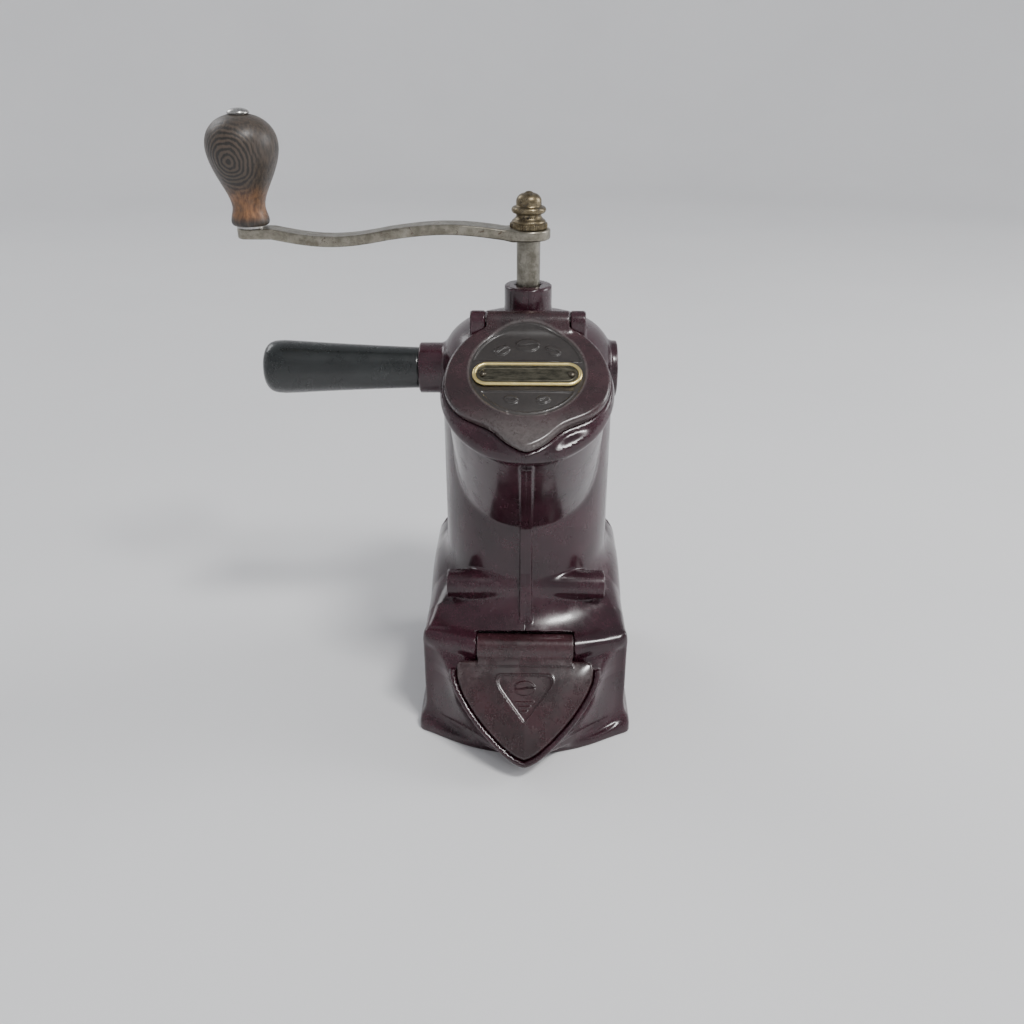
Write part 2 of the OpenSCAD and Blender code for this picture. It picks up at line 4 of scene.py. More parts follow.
import bpy
import numpy as np
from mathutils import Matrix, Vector


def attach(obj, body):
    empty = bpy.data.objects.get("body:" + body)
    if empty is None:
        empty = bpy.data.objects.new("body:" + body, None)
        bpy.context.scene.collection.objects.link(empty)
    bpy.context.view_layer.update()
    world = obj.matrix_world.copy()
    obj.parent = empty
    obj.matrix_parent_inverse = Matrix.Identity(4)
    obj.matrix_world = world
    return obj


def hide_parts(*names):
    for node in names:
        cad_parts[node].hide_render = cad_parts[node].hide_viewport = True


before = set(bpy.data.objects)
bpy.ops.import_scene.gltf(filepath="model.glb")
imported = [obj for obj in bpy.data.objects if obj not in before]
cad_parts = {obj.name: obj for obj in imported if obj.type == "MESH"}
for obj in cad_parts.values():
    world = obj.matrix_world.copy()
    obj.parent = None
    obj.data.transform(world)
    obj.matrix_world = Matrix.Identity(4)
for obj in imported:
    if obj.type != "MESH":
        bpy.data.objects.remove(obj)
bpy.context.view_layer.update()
MM = 0.001

# ---------------------------------------------------------------- dimensions, millimetres, in the CAD's frame
WALL = 3.0
# column with its dome and the shaft's collar
COLUMN_R = 38.0
DOME_R, DOME_Z = 19.0, 166.0
COLLAR_R, COLLAR_LOW, COLLAR_TOP = 10.2, 170.0, 200.0
# base: walls that flare near the floor, a shoulder that starts at the front, and a foot with a bowed front
BASE_HALF, BASE_FRONT = 46.2, 49.0
FLARE, FLARE_Z = 1.6, 20.0
SHOULDER_Y, SHOULDER_Z, SHOULDER_TOP = -47.0, 54.3, 75.5
FOOT_HALF, FOOT_FRONT, FOOT_H, FOOT_SET_IN = 50.0, 75.0, 4.0, 1.3
FOOT_TIP_Y, FOOT_BOW = -70.0, 20.0
FOOT_LIMIT, UNDERSIDE = 49.9, 0.03
CORNER_X, CORNER_Y = 47.5, -47.0
# hopper, with its axis square to the lid's seat
SEAT_Y, SEAT_Z, SEAT_TURN = -40.0, 168.5, 30.0
SEAT_COS, SEAT_SIN = math.cos(math.radians(SEAT_TURN)), math.sin(math.radians(SEAT_TURN))
HOPPER_R, HOPPER_DRAFT, HOPPER_DEPTH, BORE_DEPTH = 33.5, 2.6, 75.0, 60.0
BEAD_AT, BEAD_DROP, BEAD_R = 31.6, 5.4, 3.9
# lid: radius, thickness, pin, and how its outline flattens and then runs out to the lip
LID_R, LID_T = 33.9, 5.0
LID_PIN_Y, LID_PIN_Z, LID_BARREL_R = -15.0, 188.0, 4.5
LIP_TURN, LIP_FLAT, LIP_POINT = 33.0, 6.0, 1.3
EAR_IN, EAR_OUT, EAR_LOW = 17.7, 24.3, 172.0
PIN_R = 1.55
# flap: hinge, slope, half width, reach, and the knee below which it narrows
FLAP_Y, FLAP_Z, FLAP_BARREL_R, FLAP_BARREL_HALF = -51.5, 48.0, 5.8, 21.7
FLAP_TURN = 48.0
FLAP_COS, FLAP_SIN = math.cos(math.radians(FLAP_TURN)), math.sin(math.radians(FLAP_TURN))
FLAP_HALF, FLAP_REACH, FLAP_KNEE, FLAP_CURVE_X, FLAP_CURVE_S = 30.6, 51.2, 13.0, 1.176, 1.45
CREST_IN, CREST_END, CREST_TAPER = 21.0, 44.8, 3.4
# seam rib, clamp tubes, handle socket and the pad that faces it
RIB_HALF, RIB_RISE, RIB_WEB_Z, RIB_WEB_HALF = 2.6, 2.1, 79.0, 24.0
SEAM_DEPTH, SEAM_HALF = 0.16, 0.16
TUBE_Y, TUBE_Z, TUBE_R, TUBE_HALF = 33.0, 70.0, 6.5, 36.0
SCREW_HOLE_R, SCREW_HEAD_R, SCREW_HEAD_H = 2.1, 4.2, 3.2
HANDLE_Z, SOCKET_R, SOCKET_END, PAD_R, PAD_END, PAD_START = 162.5, 11.2, 48.0, 12.5, 39.4, 28.0
ROD_HOLE_R = 3.1
# seats inside the casing
BEANS_LOW, BEANS_TOP, FUNNEL_R, FUNNEL_TOP, FUNNEL_SLOPE = 88.0, 184.0, 27.6, 97.0, 0.98
GROUNDS_LOW, GROUNDS_TOP, GROUNDS_NECK_Z, GROUNDS_NECK_R = 3.0, 80.0, 66.0, 35.3
BUSH_R, BUSH_TOP, BUSH_LOW, SHAFT_HOLE_R = 7.0, 198.4, 150.0, 5.4
BURR_R, BURR_Z, BURR_HALF, FLANGE_R, FLANGE_Z, FLANGE_HALF = 23.05, 75.0, 15.0, 27.05, 87.0, 2.02
BRIDGE_Z, BRIDGE_REACH, BRIDGE_W, BRIDGE_T, BRIDGE_SCREW_R, BRIDGE_HEAD_R = 149.0, 36.35, 5.55, 2.05, 1.3, 2.2
# crank bar and knob
ARM_Z, ARM_T, ARM_W, REACH = 219.2, 4.3, 12.0, 116.5
HUB_R, SQUARE_HALF, SPINDLE_HOLE_R = 9.15, 3.42, 2.53
KNOB_Z, KNOB_H = ARM_Z + ARM_T + 1.0, 42.9
# field values that stand for "no limit here"
NO_LIMIT, NO_RADIUS = -9.0, 99.0


# ---------------------------------------------------------------- distance fields
def smin(a, b, k):
    """Union with a fillet of size k."""
    h = np.clip(0.5 + 0.5 * (b - a) / k, 0, 1)
    return b + (a - b) * h - k * h * (1 - h)


def smax(a, b, k):
    """Intersection with a rounding of size k."""
    return -smin(-a, -b, k)


def bell(d, width):
    return np.exp(-(d / width) ** 2)


def within(edge, width):
    """1 inside an outline and 0 outside, with a slope of the given width."""
    return 1 - np.clip(edge / width + 0.5, 0, 1)


def corner(a, b, r):
    """Two walls meeting at an outside corner of radius r."""
    a, b = a + r, b + r
    return np.hypot(np.maximum(a, 0), np.maximum(b, 0)) + np.minimum(np.maximum(a, b), 0) - r


def x_rod(x, y, z, cy, cz, r, x0, x1, edge):
    return corner(np.hypot(y - cy, z - cz) - r, np.maximum(x0 - x, x - x1), edge)


def clamp_tube(x, y, z, side):
    return x_rod(x, y, z, side * TUBE_Y, TUBE_Z, TUBE_R, -TUBE_HALF, TUBE_HALF, 0.7)


def seat_axes(y, z):
    """Distance up the lid's slope and above it."""
    dy, dz = y - SEAT_Y, z - SEAT_Z
    return dy * SEAT_COS + dz * SEAT_SIN, dz * SEAT_COS - dy * SEAT_SIN


def flap_axes(y, z):
    """Distance up the flap's slope and out from it."""
    dy, dz = y - FLAP_Y, z - FLAP_Z
    return dy * FLAP_COS + dz * FLAP_SIN, dz * FLAP_COS - dy * FLAP_SIN


def lip_plan(x, s, grow=0.0):
    """Round outline that flattens towards the front and then runs out to a pointed lip."""
    rho = np.hypot(x, s)
    turn = np.degrees(np.arctan2(np.abs(x), -s))
    soft = np.sqrt(turn ** 2 + 9)
    width = 23.5 + 2.5 * np.tanh((turn - LIP_TURN) / 12)
    edge = LID_R - LIP_FLAT * bell(turn - LIP_TURN, width) + LIP_POINT * np.exp(-(soft / 7) ** 1.4)
    return 0.93 * (rho - edge - grow)


def flap_plan(x, s, grow=0.0):
    """Rounded triangle that hangs from the hinge line."""
    w, h = FLAP_HALF + grow, FLAP_REACH - FLAP_KNEE + grow
    a = np.maximum(np.abs(x), 0.02) / w
    u = np.maximum(-FLAP_KNEE - s, 0.02) / h
    f = a ** FLAP_CURVE_X + u ** FLAP_CURVE_S - 1
    slope = np.hypot(FLAP_CURVE_X * a ** (FLAP_CURVE_X - 1) / w, FLAP_CURVE_S * u ** (FLAP_CURVE_S - 1) / h)
    tip, top = -FLAP_REACH - 0.6 - grow - s, s + 6.8 - grow
    return smax(smax(f / slope, tip, 5.0), top, 3.0)


def box_plan(x, y, half, front, back, front_r, back_r):
    """Rectangle from y = -front to y = back, with its own corner radius at each end."""
    mid, deep = (back - front) / 2, (back + front) / 2
    r = np.where(y > mid, back_r, front_r)
    return corner(np.abs(x) - half, np.abs(y - mid) - deep, r)


def foot_plan(x, y):
    arc_r = (FOOT_HALF ** 2 + FOOT_BOW ** 2) / (2 * FOOT_BOW)
    front = np.hypot(x, y - FOOT_TIP_Y - arc_r) - arc_r
    return smax(box_plan(x, y, FOOT_HALF, FOOT_FRONT, FOOT_HALF, 4, 16), front, 1.0)


def column(x, y, z):
    return corner(np.hypot(x, y) - COLUMN_R, z - DOME_Z - DOME_R, DOME_R)


def flare(z):
    return FLARE * np.clip(1 - z / FLARE_Z, 0, 1) ** 2


def base(x, y, z):
    """Chamber with a sloping shoulder that rises towards the back."""
    half = BASE_HALF + flare(z)
    plan = box_plan(x, y, half, BASE_FRONT, half, 1.2, 15)
    back = y - SHOULDER_Y
    top = smin(SHOULDER_Z + 0.3 * back + 0.004 * back * np.abs(back), SHOULDER_TOP, 8)
    return smax(plan, (z - top) * 0.9, 3 + 15 * np.clip(back / 30, 0, 1))


def spout(x, y, z):
    """Wedge under the flap; its sides sweep from the lip's ridge back to the base's front corners."""
    n = flap_axes(y, z)[1]
    drop = np.clip((FLAP_Z - z) / FLAP_SIN, -8, FLAP_REACH + 1.2)
    u = np.clip((drop - FLAP_KNEE) / (FLAP_REACH - 11.4), 0, 1)
    narrow = (FLAP_HALF + 2) * (1 - u ** FLAP_CURVE_S) ** 0.85 + 0.6
    ridge_x = np.where(drop > FLAP_KNEE, narrow, FLAP_HALF + 2.6)
    ridge_x = ridge_x + 11.5 * np.clip((17 - drop) / 24, 0, 1) ** 1.6
    ridge_y = FLAP_Y - drop * FLAP_COS
    to_x, to_y = CORNER_X - ridge_x, CORNER_Y - ridge_y
    long = np.hypot(to_x, to_y) + 1e-3
    off_x, off_y = np.abs(x) - ridge_x, y - ridge_y
    t = np.clip((off_x * to_x + off_y * to_y) / long ** 2, 0, 1)
    hollowed = 2.4 * np.sin(np.pi * t) * np.clip(drop / 20, 0, 1)
    side = (off_x * to_y - off_y * to_x) / long + hollowed
    under = 3.5 - z + 0.32 * np.maximum(-66 - y, 0)
    wedge = smax(smax(side, n + 0.2, 1.6), under, 2.0)
    wedge = smax(wedge, np.abs(x) - BASE_HALF - flare(z), 1.0)
    return np.maximum(smax(wedge, z - 50.5 + 0.35 * (y - CORNER_Y), 3.0), y + 34)


def hopper(x, y, z):
    s, n = seat_axes(y, z)
    draft = HOPPER_DRAFT * np.maximum(n, -HOPPER_DEPTH) / HOPPER_DEPTH
    return np.maximum(np.hypot(x, s) - HOPPER_R - draft, np.maximum(n + 3, -HOPPER_DEPTH - n))


def rim(x, y, z):
    """Bead around the hopper's mouth, with the pouring lip on it."""
    s, n = seat_axes(y, z)
    bead = np.hypot(np.hypot(x, s) - BEAD_AT, n + BEAD_DROP) - BEAD_R
    lip = corner(lip_plan(x, s, 0.9 + 0.8 * bell(x, 13)), np.maximum(n + 0.05, -n - 5), 1.3)
    return smin(bead, lip, 3.0)


def outside(x, y, z):
    """The moulded hull without rib, ears and bosses."""
    body = smin(column(x, y, z), base(x, y, z), 6 + 16 * np.clip(-y / 34, 0, 1) ** 2)
    body = smin(body, smin(hopper(x, y, z), rim(x, y, z), 2.0), 0.9)
    foot = corner(foot_plan(x, y) + FOOT_SET_IN, z - FOOT_H, 1.2)
    return smin(smin(body, foot, 11.0), spout(x, y, z), 2.0)


def seam_rib(hull, x, y, z):
    """Follows the hull at a constant height down to the waist, then runs on as an upright web."""
    n = seat_axes(y, z)[1]
    span = np.maximum(np.maximum(y + 18, n + 9.5), 96 - z)
    follow = smax(hull - RIB_RISE, span, 1.5)
    web_front = -40.5 - 6.4 * np.clip((80 - z) / 24, 0, 1)
    web = np.maximum(np.maximum(web_front - y, y + 34), np.abs(z - RIB_WEB_Z) - RIB_WEB_HALF)
    return smax(np.abs(x) - RIB_HALF, smin(follow, web, 1.0), 0.8)


def collar(x, y, z):
    return np.maximum(corner(np.hypot(x, y) - COLLAR_R, z - COLLAR_TOP, 0.7), COLLAR_LOW - z)


def lid_ears(x, y, z):
    near = np.clip(z, EAR_LOW, LID_PIN_Z)
    ear = np.hypot(y - LID_PIN_Y, z - near) - LID_BARREL_R
    return corner(ear, np.abs(np.abs(x) - (EAR_IN + EAR_OUT) / 2) - (EAR_OUT - EAR_IN) / 2, 0.7)


def flap_crest(x, y, z):
    """Shoulders of the flap's hinge, which taper towards the base's front corners."""
    out = np.clip((np.abs(x) - CREST_IN) / 25.0, 0, 1)
    crest = np.hypot(y - FLAP_Y - CREST_TAPER * out, z - FLAP_Z - 2.6 * out)
    return smax(crest - FLAP_BARREL_R + CREST_TAPER * out, np.abs(x) - CREST_END, 2.5)


def flap_lip(x, y, z):
    """Narrow wall around the flap."""
    s, n = flap_axes(y, z)
    lip = np.abs(flap_plan(x, s, 1.8)) - 1.3
    return np.maximum(np.maximum(corner(lip, np.abs(n) - 1.8, 1.0), s + 10.5), z - 44)


def hull_details(x, y, z):
    hull = outside(x, y, z)
    hull = smin(hull, seam_rib(hull, x, y, z), 1.0)
    hull = smin(hull, collar(x, y, z), 7.0)
    hull = smin(hull, lid_ears(x, y, z), 1.2)
    hull = smin(hull, x_rod(x, y, z, 0, HANDLE_Z, SOCKET_R, -SOCKET_END, -PAD_START, 0.8), 2.2)
    hull = smin(hull, x_rod(x, y, z, 0, HANDLE_Z, PAD_R, PAD_START, PAD_END, 1.0), 1.4)
    for side in (-1, 1):
        hull = smin(hull, clamp_tube(x, y, z, side), 1.6)
    hull = smin(hull, flap_crest(x, y, z), 3.0)
    return smin(hull, flap_lip(x, y, z), 1.0)


def hollow(x, y, z):
    """Room inside: beans above the burr seat, grounds below it."""
    inner = outside(x, y, z) + WALL
    r = np.hypot(x, y)
    s, n = seat_axes(y, z)
    draft = HOPPER_DRAFT * np.maximum(n, -BORE_DEPTH) / BORE_DEPTH
    bore = np.maximum(np.hypot(x, s) - (HOPPER_R - WALL) - draft, np.maximum(n - 2, -BORE_DEPTH - n))
    bore = np.maximum(bore, np.where(n > -7, lip_plan(x, s, -2.8), NO_LIMIT))
    funnel_r = FUNNEL_R + FUNNEL_SLOPE * np.maximum(z - BEANS_LOW, 0)
    beans = np.maximum(smin(inner, bore, 1.0), BEANS_LOW - z)
    beans = np.maximum(beans, r - np.where(z < FUNNEL_TOP, funnel_r, NO_RADIUS))
    beans = np.maximum(beans, z - BEANS_TOP)
    grounds = np.maximum(inner, np.maximum(GROUNDS_LOW - z, z - GROUNDS_TOP))
    grounds = np.maximum(grounds, np.where(z > GROUNDS_NECK_Z, r - GROUNDS_NECK_R, NO_LIMIT))
    return np.minimum(beans, grounds)


def lid_cuts(x, y, z):
    """Groove for the lid's barrel, the room above it, and the lid's own place between the ears."""
    s, n = seat_axes(y, z)
    between = np.abs(x) - EAR_IN
    barrel = np.hypot(y - LID_PIN_Y, z - LID_PIN_Z) - LID_BARREL_R - 0.5
    return [np.maximum(barrel, between),
            np.maximum(np.maximum(between, np.abs(y + 17.0) - 7), LID_PIN_Z - z),
            np.maximum(np.maximum(lip_plan(x, s, 0.6), -n), np.minimum(between, y + 19.8))]


def flap_cuts(x, y, z):
    """Room for the flap, for its barrel and neck, and the spout's mouth behind it."""
    s, n = flap_axes(y, z)
    barrel_side = np.abs(x) - FLAP_BARREL_HALF - 0.3
    mouth_side = (np.abs(x) - 24 - (s + 10) * 0.63) * 0.85
    return [np.maximum(np.hypot(s, n) - FLAP_BARREL_R - 0.4, barrel_side),
            np.maximum(flap_plan(x, s, 0.5), -n),
            np.maximum(np.maximum(barrel_side, np.abs(s) - 6.5), -n),
            np.maximum(np.maximum(mouth_side, np.abs(s + 25) - 15), np.abs(n + 4) - 10)]


def seat_cuts(x, y, z):
    """Seats of shaft bush, burr ring, handle rod, bearing bridge and the clamp screws."""
    r = np.hypot(x, y)
    bridge = np.maximum(np.abs(x) - BRIDGE_REACH, np.abs(y) - BRIDGE_W)
    screw = np.hypot(y, z - BRIDGE_Z)
    cuts = [r - np.where(z > BUSH_TOP, SHAFT_HOLE_R, BUSH_R) + 40 * (z < BUSH_LOW),
            np.maximum(r - BURR_R, np.abs(z - BURR_Z) - BURR_HALF),
            np.maximum(r - FLANGE_R, np.abs(z - FLANGE_Z) - FLANGE_HALF),
            np.maximum(np.hypot(y, z - HANDLE_Z) - ROD_HOLE_R, np.maximum(x + 20, -60 - x)),
            np.maximum(bridge, np.abs(z - BRIDGE_Z) - BRIDGE_T),
            screw - BRIDGE_SCREW_R,
            np.maximum(screw - BRIDGE_HEAD_R, COLUMN_R - x)]
    for side in (-1, 1):
        tube = np.hypot(y - side * TUBE_Y, z - TUBE_Z)
        cuts.append(tube - SCREW_HOLE_R)
        cuts.append(np.maximum(tube - SCREW_HEAD_R, TUBE_HALF - SCREW_HEAD_H - np.abs(x)))
    return cuts


def casing(x, y, z):
    d = smax(hull_details(x, y, z), -hollow(x, y, z), 0.5)
    for side in (-1, 1):
        d = np.minimum(d, clamp_tube(x, y, z, side))
    d = np.minimum(d, x_rod(x, y, z, 0, HANDLE_Z, 7.5, -37, -31.5, 0.3))
    cut = np.minimum.reduce(seat_cuts(x, y, z) + lid_cuts(x, y, z) + flap_cuts(x, y, z))
    d = smax(d, -cut, 0.35)
    # the foot's outer faces and the flat underside
    d = smax(d, np.maximum(np.abs(x) - FOOT_LIMIT, y - FOOT_LIMIT), 1.5)
    d = smax(d, UNDERSIDE - z, 0.5)
    # hairline along the joint of the two halves
    return d + SEAM_DEPTH * bell(x, SEAM_HALF)


# ---------------------------------------------------------------- surfaces of distance fields
CORNERS = [(c >> 2 & 1, c >> 1 & 1, c & 1) for c in range(8)]
EDGES = [(a, b) for a in range(8) for b in range(a + 1, 8) if bin(a ^ b).count("1") == 1]
NEWTON_STEPS, DAMPING, STEP_MAX, CELL_REACH = 5, 0.85, 0.8, 0.75


def gradient(field, p, h=0.04):
    g = np.empty_like(p)
    for a in range(3):
        q = p.copy()
        q[:, a] += h
        up = field(*q.T)
        q[:, a] -= 2 * h
        g[:, a] = (up - field(*q.T)) / (2 * h)
    return g


def straddling(inside):
    """Grid cells that have corners on both sides of the surface."""
    nx, ny, nz = (d - 1 for d in inside.shape)
    total = np.zeros((nx, ny, nz), np.int8)
    for i, j, k in CORNERS:
        total += inside[i:i + nx, j:j + ny, k:k + nz]
    return np.argwhere((total > 0) & (total < 8))


def mean_crossing(corners, values):
    """Mean of the points where the surface crosses a cell's edges, for every cell."""
    points, count = np.zeros(corners[0].shape), np.zeros(len(corners[0]))
    for a, b in EDGES:
        cross = (values[a] < 0) != (values[b] < 0)
        t = np.where(cross, values[a] / np.where(cross, values[a] - values[b], 1), 0)[:, None]
        points += np.where(cross[:, None], corners[a] + t * (corners[b] - corners[a]), 0)
        count += cross
    return points / count[:, None]


def quads(inside, index):
    """One outward quad around every grid edge that crosses the surface; index gives each cell's vertex."""
    faces = []
    for axis in range(3):
        p, q = (axis + 1) % 3, (axis + 2) % 3
        near, far = [slice(1, -1)] * 3, [slice(1, -1)] * 3
        near[axis], far[axis] = slice(0, -1), slice(1, None)
        starts, ends = inside[tuple(near)], inside[tuple(far)]
        at = np.argwhere(starts != ends)
        outward = starts[tuple(at.T)]
        at[:, p] += 1
        at[:, q] += 1
        quad = []
        for dp, dq in ((1, 1), (0, 1), (0, 0), (1, 0)):
            cell = at.copy()
            cell[:, p] -= dp
            cell[:, q] -= dq
            quad.append(index[tuple(cell.T)])
        quad = np.stack(quad, 1)
        quad[~outward] = quad[~outward][:, ::-1]
        faces.append(quad)
    return np.concatenate(faces)


def skin(field, xs, ys, zs, cap=False):
    """Vertices, quads, normals and flat-cap flags of the surface field = 0; with cap it ends flat at x = 0."""
    xs, ys, zs = (np.asarray(a, float) for a in (xs, ys, zs))
    grid = field(*np.meshgrid(xs, ys, zs, indexing="ij"))
    if cap:
        grid[0] = 1.0
    inside = grid < 0
    cells = straddling(inside)
    index = np.full([d - 1 for d in grid.shape], -1, np.int64)
    index[tuple(cells.T)] = np.arange(len(cells))
    at = [cells + c for c in CORNERS]
    corners = [np.stack([xs[c[:, 0]], ys[c[:, 1]], zs[c[:, 2]]], 1) for c in at]
    values = [grid[tuple(c.T)] for c in at]
    points = mean_crossing(corners, values)
    on_cap = (cells[:, 0] == 0) & cap
    inner_cap = on_cap & (np.maximum.reduce(values[4:]) < 0)
    points[on_cap, 0] = 0
    low, high = np.minimum.reduce(corners), np.maximum.reduce(corners)
    mid, reach = (high + low) / 2, CELL_REACH * (high - low)
    for _ in range(NEWTON_STEPS):
        f, g = field(*points.T), gradient(field, points)
        g[on_cap, 0] = 0
        size = np.maximum((g ** 2).sum(1), 0.05)
        step = -(f / size)[:, None] * g
        step[inner_cap] = 0
        points = np.clip(points + DAMPING * np.clip(step, -STEP_MAX, STEP_MAX), mid - reach, mid + reach)
        points[on_cap, 0] = 0
    faces = quads(inside, index)
    normals = gradient(field, points)
    normals /= np.maximum(np.linalg.norm(normals, axis=1), 1e-6)[:, None]
    return points, faces, normals, on_cap[faces].all(1)


def mesh_object(name, points, faces, normals=None, flat=None, flat_normal=(0, 0, 0)):
    """Mesh object from millimetre points; normals, when given, are used as they are."""
    mesh = bpy.data.meshes.new(name)
    mesh.from_pydata((points * MM).tolist(), [], faces.tolist() if hasattr(faces, "tolist") else faces)
    mesh.polygons.foreach_set("use_smooth", np.ones(len(mesh.polygons), bool))
    if normals is not None:
        per_loop = normals[np.asarray(faces).ravel()]
        if flat is not None:
            per_loop[np.repeat(flat, faces.shape[1])] = flat_normal
        mesh.normals_split_custom_set(per_loop.tolist())
    obj = bpy.data.objects.new(name, mesh)
    bpy.context.collection.objects.link(obj)
    return obj


def steps(start, *stops):
    """Grid planes from start, through (end, spacing) pairs."""
    out = [start]
    for end, gap in stops:
        count = max(1, round((end - out[-1]) / gap))
        out += list(np.linspace(out[-1], end, count + 1)[1:])
    return out


def place(obj, body, slot, *nodes):
    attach(obj, body)
    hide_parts(*nodes)
    return obj


# ---------------------------------------------------------------- casing halves
coarse = 1.0
casing_grid = (
    [-0.02] + steps(0.0, (0.45, 0.15), (1.6, 0.5), (3.4, 0.45), (6, 0.8),
                    (30, 1.2 * coarse), (53, 1.1 * coarse)),
    steps(-95, (-92, 1.5), (-30, 1.0 * coarse), (52, 1.25 * coarse)),
    steps(-2, (-0.4, 0.8), (0.6, 0.5), (8, 1.0 * coarse), (66, 1.15 * coarse), (80, 1.05 * coarse),
          (94, 1.6 * coarse), (102, 1.1 * coarse), (142, 1.6 * coarse), (202, 0.95 * coarse)),
)


def casing_half(side, sign):
    """Half shell with a flat face on the middle plane; both are made at +x and the left one is mirrored."""
    def field(x, y, z):
        return casing(sign * x, y, z)

    points, faces, normals, flat = skin(field, *casing_grid, cap=True)
    if sign < 0:
        points[:, 0] *= -1
        normals[:, 0] *= -1
        faces = faces[:, ::-1].copy()
    shell = mesh_object("casing_" + side, points, faces, normals, flat, (-sign, 0, 0))
    place(shell, "casing", "casing_bakelite", "body_" + side)


casing_half("right", 1)
casing_half("left", -1)


# ---------------------------------------------------------------- lid, flap and plate
FIELD_R, FIELD_S = 23.6, 4.2        # sunken round field of the lid, and its centre up the slope
PLATE_S, PLATE_HALF, PLATE_R, RIVET_X = 1.2, 22.3, 6.1, 18.0
PIN_S, PIN_N = seat_axes(LID_PIN_Y, LID_PIN_Z)
# coffee beans in relief: across, up the slope, turn, size
LID_BEANS = ((0, 17.6, 0.0, 3.6), (-10.4, 14.8, 0.45, 2.6), (10.4, 14.8, -0.45, 2.6),
             (-6.4, -11.2, -0.2, 2.2), (6.4, -11.2, 0.2, 2.2))
SHIELD_S = -21.0
# lines below the bean on the shield: place on the slope, half length
SHIELD_LINES = ((-4.2, 4.4), (-6.2, 3.0), (-8.2, 1.7))


def turned(n, cos, sin):
    """Vectors on a slope (across, up it, out of it) turned to the object's axes."""
    return np.stack([n[:, 0], n[:, 1] * cos - n[:, 2] * sin, n[:, 1] * sin + n[:, 2] * cos], 1)


def from_seat(p):
    return turned(p, SEAT_COS, SEAT_SIN) + (0, SEAT_Y, SEAT_Z)


def from_flap(p):
    return turned(p, FLAP_COS, FLAP_SIN) + (0, FLAP_Y, FLAP_Z)


def stadium(x, s, half, r):
    return np.hypot(np.maximum(np.abs(x) - half + r, 0), s) - r


def panels(x, s):
    """Distance to the D-shaped panels above and below the plate."""
    q = s - FIELD_S
    rho = np.hypot(x, q)
    upper = smax(rho - 22.6, 4.8 - q, 1.0)
    lower = smax(rho - 22.0, q + 11.2, 1.4)
    return np.minimum(upper, lower)


def bean(x, s, cx, cs, turn, size):
    """Raised coffee bean with a wavy crease."""
    c, w = math.cos(turn), math.sin(turn)
    a, b = (x - cx) * c + (s - cs) * w, (s - cs) * c - (x - cx) * w
    shape = np.hypot(a / 1.45, b) - size
    crease = np.abs(b - 0.35 * np.sin(a * 2.2 / size)) - 0.22
    return np.clip(-shape, 0, 0.5) * np.clip((crease + 0.1) / 0.35, 0, 1)


def lid_relief(x, s):
    """Height of the lid's face: sunken field, panels with a raised border, and beans."""
    edge = panels(x, s)
    relief = -0.35 * within(np.hypot(x, s - FIELD_S) - FIELD_R, 0.6)
    relief = relief - 0.3 * within(edge, 0.4) + 0.22 * bell(edge, 0.42)
    for cx, cs, turn, size in LID_BEANS:
        relief = relief + bean(x, s, cx, cs, turn, size)
    return relief


def lid_field(x, s, n):
    crown = 0.0011 * (x ** 2 + np.minimum(s, 6) ** 2)
    top = n - (LID_T + 0.1 + lid_relief(x, s) - crown)
    disc = smax(corner(lip_plan(x, s), top, 1.7), 0.3 - n, 0.4)
    from_pin = np.hypot(s - PIN_S, n - PIN_N)
    barrel = corner(from_pin - LID_BARREL_R, np.abs(x) - EAR_IN + 0.3, 0.5)
    d = smin(disc, barrel, 5.5)
    # scoop above the barrel, nothing behind it, and room for the ears
    d = smax(d, 5.0 - np.hypot(s - PIN_S - 2.2, n - PIN_N - 9.6), 0.6)
    y = SEAT_Y + s * SEAT_COS - n * SEAT_SIN
    d = np.maximum(d, -np.maximum(LID_PIN_Y - y, LID_BARREL_R - from_pin))
    d = smax(d, -np.maximum(EAR_IN - 0.3 - np.abs(x), LID_PIN_Y - LID_BARREL_R - 0.6 - y), 0.6)
    # locating ring under the lid
    plan = np.maximum(np.hypot(x, s) - 29.9, lip_plan(x, s, -3.5))
    ring = np.maximum(np.abs(plan + 1.0) - 1.0, np.maximum(-2.5 - n, n - 1))
    return np.maximum(np.minimum(d, ring), PIN_R - from_pin)


def plate_field(x, s, n):
    """Thin plate with a rolled rim and a fine line inside it."""
    d = stadium(x, s - PLATE_S, PLATE_HALF, PLATE_R)
    sheet = np.maximum(d + 0.5, np.abs(n - LID_T - 0.03) - 0.42)
    rolled = np.hypot(d + 0.85, n - LID_T - 0.4) - 0.82
    line = 0.10 * bell(stadium(x, s - PLATE_S, PLATE_HALF - 3.0, PLATE_R - 3.0), 0.25)
    return np.minimum(sheet - line, rolled)


def shield(x, s):
    """Rounded triangle that is sunk into the flap."""
    q = s - SHIELD_S
    slant = np.abs(x) * 0.80 - q * 0.60 - 7.4
    return smax(smax(slant, q - 7.4, 5.0), np.abs(x) - 13.2, 4.0) - 0.6


def flap_relief(x, s):
    """Height of the flap's face: sunken shield with a border, a bean and three lines."""
    edge = shield(x, s)
    relief = -0.5 * within(edge, 0.4) + 0.25 * bell(edge, 0.4)
    for row, span in SHIELD_LINES:
        relief = relief + 0.55 * bell(s - SHIELD_S - row, 0.42) * np.clip((span - np.abs(x)) / 0.5, 0, 1)
    return relief + 1.3 * bean(x, s, 0, SHIELD_S + 2.0, 0.0, 3.4)


